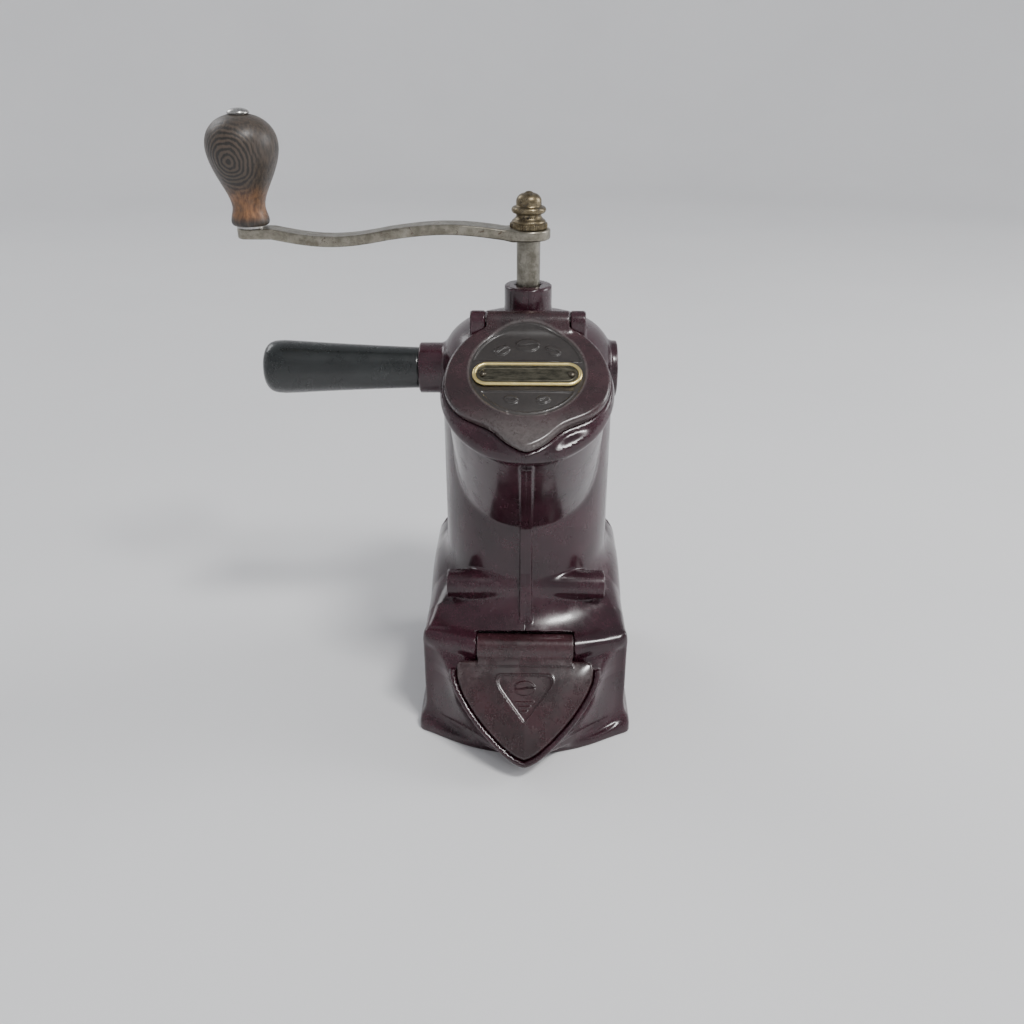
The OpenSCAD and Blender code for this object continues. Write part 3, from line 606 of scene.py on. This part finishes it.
def flap_field(x, s, n):
    plan = flap_plan(x, s)
    pillow = 1.7 * np.exp(np.minimum(plan, 0) / 4.5)
    sheet = smax(corner(plan, n - (3.75 - pillow + flap_relief(x, s)), 1.1), 0.3 - n, 0.4)
    from_pin = np.hypot(s, n)
    barrel = corner(from_pin - FLAP_BARREL_R, np.abs(x) - FLAP_BARREL_HALF, 0.5)
    neck = np.maximum(np.maximum(np.abs(x) - 21.2, np.abs(s + 5) - 4), np.abs(n - 1.8) - 1.4)
    d = smin(smin(sheet, barrel, 1.0), neck, 1.2)
    # tongue that fits the spout's mouth
    tongue_side = (np.abs(x) - 20 - (s + FLAP_KNEE) * 0.637) * 0.84
    tongue = np.maximum(np.maximum(tongue_side, np.abs(s + 25.25) - 12.25), np.abs(n + 0.9) - 1.5)
    return np.maximum(np.minimum(d, tongue), PIN_R - from_pin)


def carved(name, field, grid, to_object, cos, sin):
    """Piece whose field is given on the lid's or the flap's slope."""
    points, faces, normals, _ = skin(field, *grid)
    return mesh_object(name, to_object(points), faces, turned(normals, cos, sin))


fine = 1.0
lid_grid = (steps(-34.5, (34.5, 0.42 * fine)), steps(-37, (38, 0.42 * fine)),
            steps(-3.2, (2.6, 0.5), (6.4, 0.3), (11, 0.5)))
plate_grid = (steps(-24, (24, 0.3 * fine)), steps(PLATE_S - 6.9, (PLATE_S + 6.9, 0.26 * fine)),
              steps(LID_T - 0.9, (LID_T + 1.5, 0.16 * fine)))
flap_grid = (steps(-33, (33, 0.45 * fine)), steps(-53.5, (7, 0.45 * fine)),
             steps(-6.6, (-2.8, 0.6), (1.0, 0.5), (4.6, 0.3), (7, 0.5)))
lid = carved("lid", lid_field, lid_grid, from_seat, SEAT_COS, SEAT_SIN)
place(lid, "lid", "lid_bakelite", "hopper_lid")
plate = carved("lid_badge", plate_field, plate_grid, from_seat, SEAT_COS, SEAT_SIN)
place(plate, "lid", "plate_brass", "lid_plate")
flap = carved("pouring_flap", flap_field, flap_grid, from_flap, FLAP_COS, FLAP_SIN)
place(flap, "flap", "flap_bakelite", "outlet_flap")


# ---------------------------------------------------------------- turned pieces
def smooth_profile(knots, count):
    """Catmull-Rom curve through (radius, height) knots."""
    k = np.array([knots[0]] + list(knots) + [knots[-1]], float)
    out = []
    for i in range(1, len(k) - 2):
        for t in np.linspace(0, 1, count, endpoint=False):
            before, start, end, after = k[i - 1:i + 3]
            low = 2 * start + (end - before) * t + (2 * before - 5 * start + 4 * end - after) * t ** 2
            out.append((low + (3 * start - before - 3 * end + after) * t ** 3) / 2)
    out.append(k[-2])
    return np.array(out)


def arc_rows(centre, radii, start, end, count):
    """(radius, height) rows along an elliptic arc between two angles."""
    return [(centre[0] + radii[0] * math.cos(t), centre[1] + radii[1] * math.sin(t))
            for t in np.linspace(start, end, count)]


def revolved(rows, axis, segments, wobble=None):
    """Points of (radius, along) rows turned about z or x, row after row."""
    turn = np.linspace(0, 2 * np.pi, segments, endpoint=False)
    r, h = np.repeat(rows[:, 0:1], segments, 1), np.repeat(rows[:, 1:2], segments, 1)
    a = np.repeat(turn[None], len(rows), 0)
    if wobble is not None:
        r = r + wobble(r, h, a)
    u, w = r * np.cos(a), r * np.sin(a)
    return np.stack((u, w, h) if axis == "z" else (h, u, w), -1).reshape(-1, 3)


def band(row, following, segments):
    """Quads between two rows of a turned piece."""
    return [(row * segments + j, row * segments + (j + 1) % segments,
             following * segments + (j + 1) % segments, following * segments + j) for j in range(segments)]


def lathe(name, profile, centre, axis="z", segments=96, wobble=None):
    """Closed solid turned from (radius, along) rows that start and end on the axis."""
    profile = np.asarray(profile, float)
    body = revolved(profile[1:-1], axis, segments, wobble)
    ends = [(0, 0, e) if axis == "z" else (e, 0, 0) for e in (profile[0, 1], profile[-1, 1])]
    count = len(profile) - 2
    faces = [face for i in range(count - 1) for face in band(i, i + 1, segments)]
    first, last, top = len(body), len(body) + 1, (count - 1) * segments
    for j in range(segments):
        k = (j + 1) % segments
        faces += [(first, k, j), (last, top + j, top + k)]
    return mesh_object(name, np.concatenate([body, ends]) + np.asarray(centre), faces)


def tube(name, outer, hole_r, centre, segments):
    """Solid turned about z with a through hole: outer rows are (radius, height) from bottom to top."""
    rows = np.concatenate([[[hole_r, outer[0, 1]]], outer, [[hole_r, outer[-1, 1]]]])
    faces = [face for i in range(len(rows)) for face in band(i, (i + 1) % len(rows), segments)]
    return mesh_object(name, revolved(rows, "z", segments) + np.asarray(centre), faces)


def creased(obj, degrees=32):
    obj.data.set_sharp_from_angle(angle=math.radians(degrees))
    return obj


KNOB_AT = (-REACH, 0, KNOB_Z)
KNOB_KNOTS = [(6.7, 0.0), (7.5, 0.5), (7.85, 1.8), (7.5, 3.8), (6.85, 6.2), (6.8, 8.2), (7.6, 11.4),
              (9.5, 15.6), (11.9, 20.6), (13.7, 25.4), (14.6, 30.0), (14.3, 34.0), (12.9, 37.4),
              (10.4, 40.2), (7.4, 42.0), (4.6, KNOB_H)]
knob = tube("crank_handle_knob", smooth_profile(KNOB_KNOTS, 6), 2.55, KNOB_AT, 112)
place(creased(knob, 50), "knob", "knob_wood", "crank_knob")

rivet_rows = [(0, -5.0), (2.2, -5.0), (2.5, -4.7), (2.5, KNOB_H + 0.2), (4.2, KNOB_H + 0.3)]
rivet_rows += arc_rows((0, KNOB_H + 0.55), (4.5, 1.9), 0, 1.5, 12) + [(0, KNOB_H + 2.45)]
spindle = lathe("knob_rivet", rivet_rows, KNOB_AT, segments=64)
place(creased(spindle), "crank", "rivet_steel", "knob_spindle")

GRIP_END, GRIP_START, GRIP_HOLE_R, GRIP_HOLE_END = -117.5, -48.1, 3.05, 6.0
GRIP_KNOTS = [(0.3, 0), (6.0, 0.25), (9.2, 1.3), (11.1, 3.6), (11.75, 7.5), (11.6, 14), (10.9, 26),
              (10.1, 42), (9.5, 56), (9.15, 66), (9.1, 68.6)]
grip_rows = [(0, GRIP_END)] + [(r, GRIP_END + h) for r, h in smooth_profile(GRIP_KNOTS, 8)]
grip_rows += [(8.8, GRIP_START), (GRIP_HOLE_R, GRIP_START), (GRIP_HOLE_R, GRIP_END + GRIP_HOLE_END),
              (0, GRIP_END + GRIP_HOLE_END)]
grip = lathe("side_grip", grip_rows, (0, 0, HANDLE_Z), axis="x", segments=112)
place(creased(grip, 40), "casing", "grip_bakelite", "handle_grip")

NUT_Z = ARM_Z + ARM_T + 0.02
KNURL_R, KNURL_COUNT, KNURL_DEPTH = 6.6, 44, 0.16


def knurl(r, h, a):
    """Fine teeth on the finial's lowest disc."""
    on_disc = np.clip((r - KNURL_R) / 0.6, 0, 1) * (h > -0.5) * (h < 2.3)
    return on_disc * KNURL_DEPTH * np.cos(KNURL_COUNT * a)


nut_rows = [(0, 0), (7.3, 0), (7.7, 0.3), (7.75, 0.6), (7.75, 1.9), (7.65, 2.2), (7.1, 2.5)]
nut_rows += list(smooth_profile([(7.15, 2.8), (6.9, 3.3), (5.9, 4.1), (5.3, 5.0), (5.35, 5.8)], 5))
nut_rows += [(5.75, 6.1)] + arc_rows((5.85, 7.5), (1.4, 1.4), -1.25, 1.25, 13)
nut_rows += [(5.5, 9.1), (5.3, 9.4), (5.35, 10.2)] + arc_rows((1.7, 10.6), (3.65, 3.55), 0.05, 1.35, 12)
nut_rows += [(1.7, 14.3), (1.2, 14.75), (0, 14.95)]
finial = lathe("crank_finial", nut_rows, (0, 0, NUT_Z), segments=176, wobble=knurl)
place(creased(finial, 35), "crank", "finial_bronze", "crank_nut")


# ---------------------------------------------------------------- crank bar and the plate's rivets
def arm_low(d):
    """Underside of the crank bar's double bend, d from the shaft."""
    t = np.clip((d - 9) / (REACH - 18), 0, 1)
    return ARM_Z + np.where(t < 0.5, 2.2, 3.0) * np.sin(2 * np.pi * t)


def arm_field(x, y, z):
    bar = np.maximum(np.abs(y) - ARM_W / 2 + 0.7 * np.clip((-x - 12) / 40, 0, 1), x)
    bar = np.maximum(bar, np.hypot(np.minimum(x + REACH, 0), y) - ARM_W / 2)
    bar = corner(bar, np.abs(z - arm_low(-x) - ARM_T / 2) - ARM_T / 2, 0.75)
    level = np.abs(z - ARM_Z - ARM_T / 2) - ARM_T / 2
    d = smin(bar, corner(np.hypot(x, y) - HUB_R, level, 0.9), 2.5)
    d = smax(d, level - 4.2, 0.1)
    d = np.maximum(d, SQUARE_HALF - np.maximum(np.abs(x), np.abs(y)))
    return np.maximum(d, SPINDLE_HOLE_R - np.hypot(x + REACH, y))


points, faces, normals, _ = skin(arm_field, steps(-124, (-109, 0.5), (-12, 0.8), (11, 0.5)),
                                 steps(-10, (10, 0.5)), steps(215, (227, 0.42)))
place(mesh_object("crank_bar", points, faces, normals), "crank", "arm_steel", "crank_arm")


def rivet_pair():
    """Two small rivets at the ends of the plate, joined into one piece."""
    rows = [(0, LID_T - 3.9), (0.8, LID_T - 3.9), (0.8, LID_T + 0.5)]
    rows += arc_rows((0, LID_T + 0.62), (1.55, 0.85), -0.1, 1.45, 9) + [(0, LID_T + 1.5)]
    pair = [lathe("rivet", rows, (side * RIVET_X, PLATE_S, 0), segments=40) for side in (-1, 1)]
    bpy.ops.object.select_all(action="DESELECT")
    for one in pair:
        one.select_set(True)
    bpy.context.view_layer.objects.active = pair[0]
    bpy.ops.object.join()
    joined = pair[0]
    joined.name = "badge_rivets"
    flat = np.empty(len(joined.data.vertices) * 3)
    joined.data.vertices.foreach_get("co", flat)
    joined.data.vertices.foreach_set("co", (from_seat(flat.reshape(-1, 3) / MM) * MM).ravel())
    return joined


place(rivet_pair(), "lid", "rivet_steel", "plate_rivets")


# ---------------------------------------------------------------- materials
class Finish:
    """Principled material with short calls for its nodes; lengths are millimetres of the object."""

    def __init__(self, name, metallic=0.0, coat=0.0, coat_rough=0.15, specular=0.5):
        self.mat = bpy.data.materials.new(name)
        self.mat.use_nodes = True
        self.tree = self.mat.node_tree
        self.bsdf = self.tree.nodes["Principled BSDF"]
        self.set("Metallic", metallic)
        self.set("Coat Weight", coat)
        self.set("Coat Roughness", coat_rough)
        self.set("Specular IOR Level", specular)
        self.place = self.add("ShaderNodeTexCoord").outputs["Object"]

    def add(self, kind, **values):
        node = self.tree.nodes.new(kind)
        for key, value in values.items():
            setattr(node, key, value)
        return node

    def feed(self, socket, value):
        if isinstance(value, bpy.types.NodeSocket):
            self.tree.links.new(value, socket)
        else:
            socket.default_value = value

    def set(self, name, value):
        self.feed(self.bsdf.inputs[name], value)

    def at(self, centre=(0, 0, 0), turn=(0, 0, 0), stretch=(1, 1, 1)):
        """Object coordinates moved to a centre in millimetres, then turned back and stretched."""
        move = self.add("ShaderNodeVectorMath", operation="SUBTRACT")
        self.feed(move.inputs[0], self.place)
        move.inputs[1].default_value = tuple(c * MM for c in centre)
        node = self.add("ShaderNodeMapping", vector_type="TEXTURE")
        self.feed(node.inputs["Vector"], move.outputs[0])
        node.inputs["Rotation"].default_value = tuple(math.radians(a) for a in turn)
        node.inputs["Scale"].default_value = tuple(1 / s for s in stretch)
        return node.outputs[0]

    def noise(self, size, detail=4.0, rough=0.55, where=None, distort=0.0):
        """Noise whose features are about size millimetres across."""
        node = self.add("ShaderNodeTexNoise")
        self.feed(node.inputs["Vector"], where or self.place)
        node.inputs["Scale"].default_value = 1 / (size * MM)
        node.inputs["Detail"].default_value = detail
        node.inputs["Roughness"].default_value = rough
        node.inputs["Distortion"].default_value = distort
        return node.outputs["Fac"]

    def fit(self, value, lo, hi, out_lo=0.0, out_hi=1.0):
        """Smooth step from out_lo to out_hi as value goes from lo to hi."""
        node = self.add("ShaderNodeMapRange", interpolation_type="SMOOTHSTEP")
        self.feed(node.inputs["Value"], value)
        for key, v in (("From Min", lo), ("From Max", hi), ("To Min", out_lo), ("To Max", out_hi)):
            node.inputs[key].default_value = v
        return node.outputs["Result"]

    def calc(self, op, a, b=0.0):
        node = self.add("ShaderNodeMath", operation=op)
        self.feed(node.inputs[0], a)
        self.feed(node.inputs[1], b)
        return node.outputs[0]

    def plus(self, a, b):
        return self.calc("ADD", a, b)

    def times(self, a, b):
        return self.calc("MULTIPLY", a, b)

    def radius(self, a, b):
        return self.calc("SQRT", self.plus(self.times(a, a), self.times(b, b)))

    def axis(self, vector, name):
        node = self.add("ShaderNodeSeparateXYZ")
        self.feed(node.inputs[0], vector)
        return node.outputs[name]

    def blend(self, amount, a, b):
        node = self.add("ShaderNodeMix", data_type="RGBA")
        self.feed(node.inputs[0], amount)
        self.feed(node.inputs[6], (*a, 1) if isinstance(a, tuple) else a)
        self.feed(node.inputs[7], (*b, 1) if isinstance(b, tuple) else b)
        return node.outputs[2]

    def bump(self, height, depth, strength=1.0, under=None):
        node = self.add("ShaderNodeBump")
        self.feed(node.inputs["Height"], height)
        node.inputs["Distance"].default_value = depth * MM
        node.inputs["Strength"].default_value = strength
        if under is not None:
            self.feed(node.inputs["Normal"], under)
        self.set("Normal", node.outputs[0])
        return node.outputs[0]

    def edges(self):
        """About 0.5 on a flat, higher on a worn convex edge."""
        return self.add("ShaderNodeNewGeometry").outputs["Pointiness"]


# bump layers, coarse first: noise size, detail, roughness, depth
MOULDED_SKIN = ((9, 2, 0.5, 0.03), (0.35, 3, 0.6, 0.006))
RUBBED_SKIN = ((1.1, 5, 0.7, 0.05), (0.3, 3, 0.6, 0.012))


def bakelite(name, dark, light, rough, coat, layers=MOULDED_SKIN):
    """Mottled moulded plastic, with its colour and its roughness for wear to build on."""
    m = Finish(name, coat=coat, coat_rough=0.12)
    mottle = m.plus(m.times(m.noise(16, 5, 0.62), 0.75), m.times(m.noise(1.1, 3, 0.6), 0.25))
    colour = m.blend(m.fit(mottle, 0.36, 0.66), dark, light)
    haze = m.fit(m.noise(7, 6, 0.7, m.at(stretch=(1, 1, 0.45))), 0.3, 0.72, *rough)
    m.set("Base Color", colour)
    m.set("Roughness", haze)
    under = None
    for size, detail, noise_rough, depth in layers:
        under = m.bump(m.noise(size, detail, noise_rough), depth, under=under)
    return m, colour, haze


def lid_wear_and_painted_sheen():
    """Worn through to grey at the front, a grey that is partly real wear and partly a painted sheen; dull and
    dark in the sunken field.
    """
    m, colour, haze = bakelite("lid_wear_and_painted_sheen", (0.017, 0.0065, 0.0078), (0.040, 0.014, 0.018), (0.2, 0.34), 0.35,
                               RUBBED_SKIN)
    seat = m.at((0, SEAT_Y, SEAT_Z), (SEAT_TURN, 0, 0))
    x, s = m.axis(seat, "X"), m.axis(seat, "Y")
    rho = m.radius(x, m.calc("SUBTRACT", s, FIELD_S * MM))
    in_field = m.fit(rho, (FIELD_R + 0.4) * MM, (FIELD_R - 0.3) * MM)
    rub = m.fit(m.noise(1.3, 6, 0.75), 0.32, 0.66, 0.45, 1.0)
    # grey towards the tip: partly real wear, partly a painted sheen standing in for reflected light
    front = m.times(m.times(m.fit(s, -0.012, -0.030), rub), 0.62)
    edge = m.times(m.fit(m.edges(), 0.53, 0.60), m.fit(s, -0.008, -0.020))
    ring = m.times(m.fit(rho, (FIELD_R + 1.4) * MM, (FIELD_R + 0.3) * MM), m.fit(rub, 0.2, 0.9, 0, 0.45))
    ring = m.times(ring, m.calc("SUBTRACT", 1.0, in_field))
    worn = m.calc("MAXIMUM", m.calc("MAXIMUM", front, edge), ring)
    dull = m.blend(m.noise(1.4, 4), (0.014, 0.0115, 0.0105), (0.034, 0.027, 0.024))
    # the pale grey brought in by worn is real wear on edges and round the field, and at the front also painted
    # sheen
    m.set("Base Color", m.blend(worn, m.blend(in_field, colour, dull), (0.155, 0.140, 0.132)))
    m.set("Roughness", m.plus(haze, m.times(m.calc("MAXIMUM", in_field, worn), 0.13)))
    return m


def worn_flap():
    """Scuffed grey towards the outer ends of its top edge."""
    m, colour, _ = bakelite("worn_flap", (0.017, 0.0065, 0.0075), (0.043, 0.0135, 0.018), (0.2, 0.36), 0.3)
    hinge = m.at((0, FLAP_Y, FLAP_Z), (FLAP_TURN, 0, 0))
    x, s = m.axis(hinge, "X"), m.axis(hinge, "Y")
    top = m.fit(m.plus(m.calc("ABSOLUTE", x), m.times(s, 0.9)), 0.0, 0.020)
    top = m.times(top, m.fit(s, -0.0055, -0.0085))
    worn = m.times(m.times(top, m.fit(m.noise(4, 6, 0.75), 0.38, 0.70)), 0.55)
    m.set("Base Color", m.blend(worn, colour, (0.12, 0.105, 0.10)))
    return m


def stains(m, cloud, size, amount):
    """Spots that also take the shine off the metal; a higher amount covers more."""
    speckle = m.noise(size * 0.8, 8, 0.8, distort=0.6)
    spots = m.fit(m.plus(speckle, m.times(cloud, 0.4)), 0.86 - amount, 0.94 - amount)
    m.set("Metallic", m.fit(spots, 0, 1, 1.0, 0.35))
    return spots


def scratches(m, stretch=(1, 1, 14), depth=0.02):
    streak = m.noise(1.2, 4, 0.6, m.at(stretch=stretch))
    under = m.bump(streak, depth)
    m.bump(m.noise(0.9, 5, 0.7), depth * 1.4, under=under)
    return streak


def metal(name, dark, light, rough, patina=None, amount=0.0, size=4.0, **scratch):
    m = Finish(name, metallic=1.0)
    cloud = m.noise(size, 6, 0.7)
    colour = m.blend(m.fit(cloud, 0.32, 0.70), dark, light)
    if patina:
        colour = m.blend(stains(m, cloud, size, amount), colour, patina)
    m.set("Base Color", colour)
    m.set("Roughness", m.fit(scratches(m, **scratch), 0.28, 0.72, *rough))
    return m


def badge_plate():
    """Polished brass rim around a dark worn field."""
    m = Finish("lid_plate", metallic=1.0)
    stains(m, m.noise(2.2, 6, 0.7), 2.2, 0.0)
    scratches(m)
    seat = m.at((0, SEAT_Y, SEAT_Z), (SEAT_TURN, 0, 0))
    x, s = m.calc("ABSOLUTE", m.axis(seat, "X")), m.calc("SUBTRACT", m.axis(seat, "Y"), PLATE_S * MM)
    past_straight = m.calc("MAXIMUM", m.calc("SUBTRACT", x, (PLATE_HALF - PLATE_R) * MM), 0.0)
    field = m.fit(m.radius(past_straight, s), (PLATE_R - 1.45) * MM, (PLATE_R - 1.75) * MM)
    tarnish = m.fit(m.noise(1.5, 6, 0.7, m.at(stretch=(0.35, 1, 1))), 0.3, 0.72)
    rim_colour = m.blend(m.noise(2.5, 5), (0.74, 0.56, 0.20), (0.98, 0.84, 0.40))
    field_colour = m.blend(tarnish, (0.048, 0.045, 0.036), (0.150, 0.140, 0.105))
    m.set("Base Color", m.blend(field, rim_colour, field_colour))
    m.set("Roughness", m.fit(field, 0, 1, 0.30, 0.42))
    return m


def knob_wood():
    """Dark stained hardwood, grain along its length, raw orange-brown where the hand wore the neck."""
    m = Finish("stained_wood", coat=0.18, coat_rough=0.3)
    centred = m.at(KNOB_AT)
    knot = m.add("ShaderNodeVectorMath", operation="LENGTH")
    m.feed(knot.inputs[0], m.at((-REACH - 2, -12, KNOB_Z + 27), stretch=(1.0, 0.7, 0.9)))
    from_knot = knot.outputs["Value"]
    turns = m.plus(m.times(from_knot, 620.0), m.times(m.noise(9, 3, 0.5, centred), 2.2))
    rings = m.fit(m.calc("SINE", m.times(turns, 6.2832)), -1, 1, -0.24, 0.24)
    lines = m.noise(1.0, 5, 0.7, m.at(KNOB_AT, stretch=(1, 1, 0.11)))
    pores = m.noise(0.42, 3, 0.6, m.at(KNOB_AT, stretch=(1, 1, 0.08)))
    grain = m.plus(m.times(m.fit(from_knot, 0.015, 0.006), rings), lines)
    stain = m.blend(m.fit(grain, 0.30, 0.70), (0.013, 0.0105, 0.0085), (0.068, 0.048, 0.034))
    raw = m.blend(m.fit(grain, 0.32, 0.68), (0.100, 0.041, 0.015), (0.26, 0.120, 0.046))
    height = m.axis(centred, "Z")
    rubbed = m.times(m.fit(height, 0.019, 0.009), m.fit(height, 0.0015, 0.005))
    rubbed = m.times(rubbed, m.fit(m.noise(6, 5, 0.65, centred), 0.30, 0.62, 0.25, 1.0))
    m.set("Base Color", m.blend(rubbed, stain, raw))
    m.set("Roughness", m.fit(pores, 0.3, 0.7, 0.34, 0.56))
    m.bump(pores, 0.10, under=m.bump(grain, 0.12))
    return m


FINISHES = {
    "casing_bakelite": bakelite("moulded_oxblood", (0.017, 0.0040, 0.0076), (0.038, 0.0098, 0.0172),
                                (0.17, 0.32), 0.2)[0],
    "lid_bakelite": lid_wear_and_painted_sheen(),
    "flap_bakelite": worn_flap(),
    "grip_bakelite": bakelite("black_grip", (0.0045, 0.0060, 0.0062), (0.0100, 0.0125, 0.0125),
                              (0.24, 0.38), 0.35)[0],
    "arm_steel": metal("aged_nickel", (0.165, 0.150, 0.118), (0.335, 0.315, 0.262), (0.26, 0.44),
                       (0.075, 0.050, 0.032), 0.10, 5.0, stretch=(0.12, 1.2, 1.2)),
    "shaft_steel": metal("turned_steel", (0.135, 0.125, 0.100), (0.29, 0.275, 0.235), (0.24, 0.42),
                         (0.08, 0.06, 0.042), 0.08, 4.0, stretch=(1.2, 1.2, 9)),
    "finial_bronze": metal("aged_bronze", (0.105, 0.083, 0.050), (0.27, 0.225, 0.145), (0.28, 0.48),
                           (0.045, 0.035, 0.024), 0.14, 2.6, stretch=(1, 1, 5)),
    "bearing_bronze": metal("bearing_bronze", (0.26, 0.16, 0.07), (0.46, 0.31, 0.15), (0.25, 0.4)),
    "fastener_steel": metal("fastener_steel", (0.16, 0.15, 0.14), (0.36, 0.35, 0.33), (0.26, 0.42),
                            (0.07, 0.045, 0.03), 0.12, 2.0),
    "rivet_steel": metal("rivet_steel", (0.34, 0.33, 0.315), (0.62, 0.61, 0.59), (0.18, 0.32),
                         (0.15, 0.12, 0.09), 0.02, 2.0),
    "burr_iron": metal("burr_iron", (0.075, 0.072, 0.068), (0.17, 0.165, 0.155), (0.36, 0.55),
                       (0.06, 0.03, 0.018), 0.10, 3.0, stretch=(1, 1, 1), depth=0.05),
    "plate_brass": badge_plate(),
    "knob_wood": knob_wood(),
}
dark_rivets = metal("blackened_rivet", (0.050, 0.044, 0.034), (0.14, 0.125, 0.10), (0.26, 0.42))
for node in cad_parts.values():
    for material_slot in node.material_slots:
        key = material_slot.material.name.split(".")[0] if material_slot.material else ""
        if key in FINISHES:
            material_slot.material = FINISHES[key].mat
PIECES = {
    "casing_left": FINISHES["casing_bakelite"], "casing_right": FINISHES["casing_bakelite"],
    "lid": FINISHES["lid_bakelite"], "pouring_flap": FINISHES["flap_bakelite"],
    "lid_badge": FINISHES["plate_brass"], "badge_rivets": dark_rivets,
    "crank_handle_knob": FINISHES["knob_wood"], "knob_rivet": FINISHES["rivet_steel"],
    "side_grip": FINISHES["grip_bakelite"], "crank_finial": FINISHES["finial_bronze"],
    "crank_bar": FINISHES["arm_steel"],
}
for name, finish in PIECES.items():
    materials = bpy.data.objects[name].data.materials
    materials.clear()
    materials.append(finish.mat)


# ---------------------------------------------------------------- floor, light and camera
FLOOR_R, SWEEP_R, WALL_TOP, SHEET_Z = 1600.0, 600.0, 1900.0, -0.05
SHEET_SEGMENTS = 96


def stage_sheet():
    """Pale round sweep: a floor that curves up into a wall on every side."""
    rows = [(SWEEP_R, 0.0), (FLOOR_R, 0.0)]
    rows += arc_rows((FLOOR_R, SWEEP_R), (SWEEP_R, SWEEP_R), 0.15 - math.pi / 2, 1.5 - math.pi / 2, 12)
    rows += [(FLOOR_R + SWEEP_R + 10, 900), (FLOOR_R + SWEEP_R + 10, WALL_TOP)]
    around = np.arange(SHEET_SEGMENTS) * 2 * math.pi / SHEET_SEGMENTS
    points = [(0, 0, SHEET_Z)]
    for r, z in rows:
        points += [(r * math.cos(a), r * math.sin(a), z + SHEET_Z) for a in around]
    faces = [(0, 1 + j, 1 + (j + 1) % SHEET_SEGMENTS) for j in range(SHEET_SEGMENTS)]
    for i in range(len(rows) - 1):
        low, high = 1 + i * SHEET_SEGMENTS, 1 + (i + 1) * SHEET_SEGMENTS
        for j in range(SHEET_SEGMENTS):
            k = (j + 1) % SHEET_SEGMENTS
            faces.append((low + j, high + j, high + k, low + k))
    sheet = mesh_object("studio_sweep", np.array(points, float), faces)
    m = Finish("paper", specular=0.25)
    m.set("Base Color", m.blend(m.noise(260, 3), (0.74, 0.74, 0.75), (0.81, 0.81, 0.815)))
    m.set("Roughness", 0.75)
    m.bump(m.noise(140, 3, 0.5), 3.0, 0.5)
    sheet.data.materials.append(m.mat)


def softbox(name, where, aim, size, watts, colour=(1, 1, 1)):
    light = bpy.data.lights.new(name, "AREA")
    light.shape = "RECTANGLE"
    light.size, light.size_y = size
    light.energy = watts
    light.color = colour
    lamp = bpy.data.objects.new(name, light)
    lamp.location = where
    lamp.rotation_euler = (Vector(aim) - Vector(where)).to_track_quat("-Z", "Y").to_euler()
    bpy.context.collection.objects.link(lamp)


def surroundings(colour, strength):
    world = bpy.data.worlds.new("studio")
    bpy.context.scene.world = world
    world.use_nodes = True
    background = world.node_tree.nodes["Background"]
    background.inputs["Color"].default_value = (*colour, 1)
    background.inputs["Strength"].default_value = strength


def look_from(where, pitch, yaw, lens):
    """Camera at a place in metres, pitched up from straight down and turned about z, both in degrees."""
    camera = bpy.data.cameras.new("camera")
    camera.sensor_width = 36.0
    camera.lens = lens
    eye = bpy.data.objects.new("camera", camera)
    eye.location = where
    eye.rotation_euler = (math.radians(pitch), 0, math.radians(yaw))
    bpy.context.collection.objects.link(eye)
    bpy.context.scene.camera = eye


stage_sheet()
softbox("key", (0.62, -0.85, 1.65), (0, 0, 0.1), (0.42, 0.26), 25, (1.0, 0.995, 0.985))
softbox("window_right", (1.5, 0.25, 0.75), (0, 0, 0.12), (0.6, 0.9), 12)
softbox("back_left", (-1.2, 0.9, 1.2), (0, 0, 0.12), (0.8, 0.6), 6, (0.97, 0.985, 1.0))
surroundings((0.93, 0.95, 1.0), 0.46)
look_from((0.0012, -0.407, 0.297), 63.07, 1.15, 33.29)
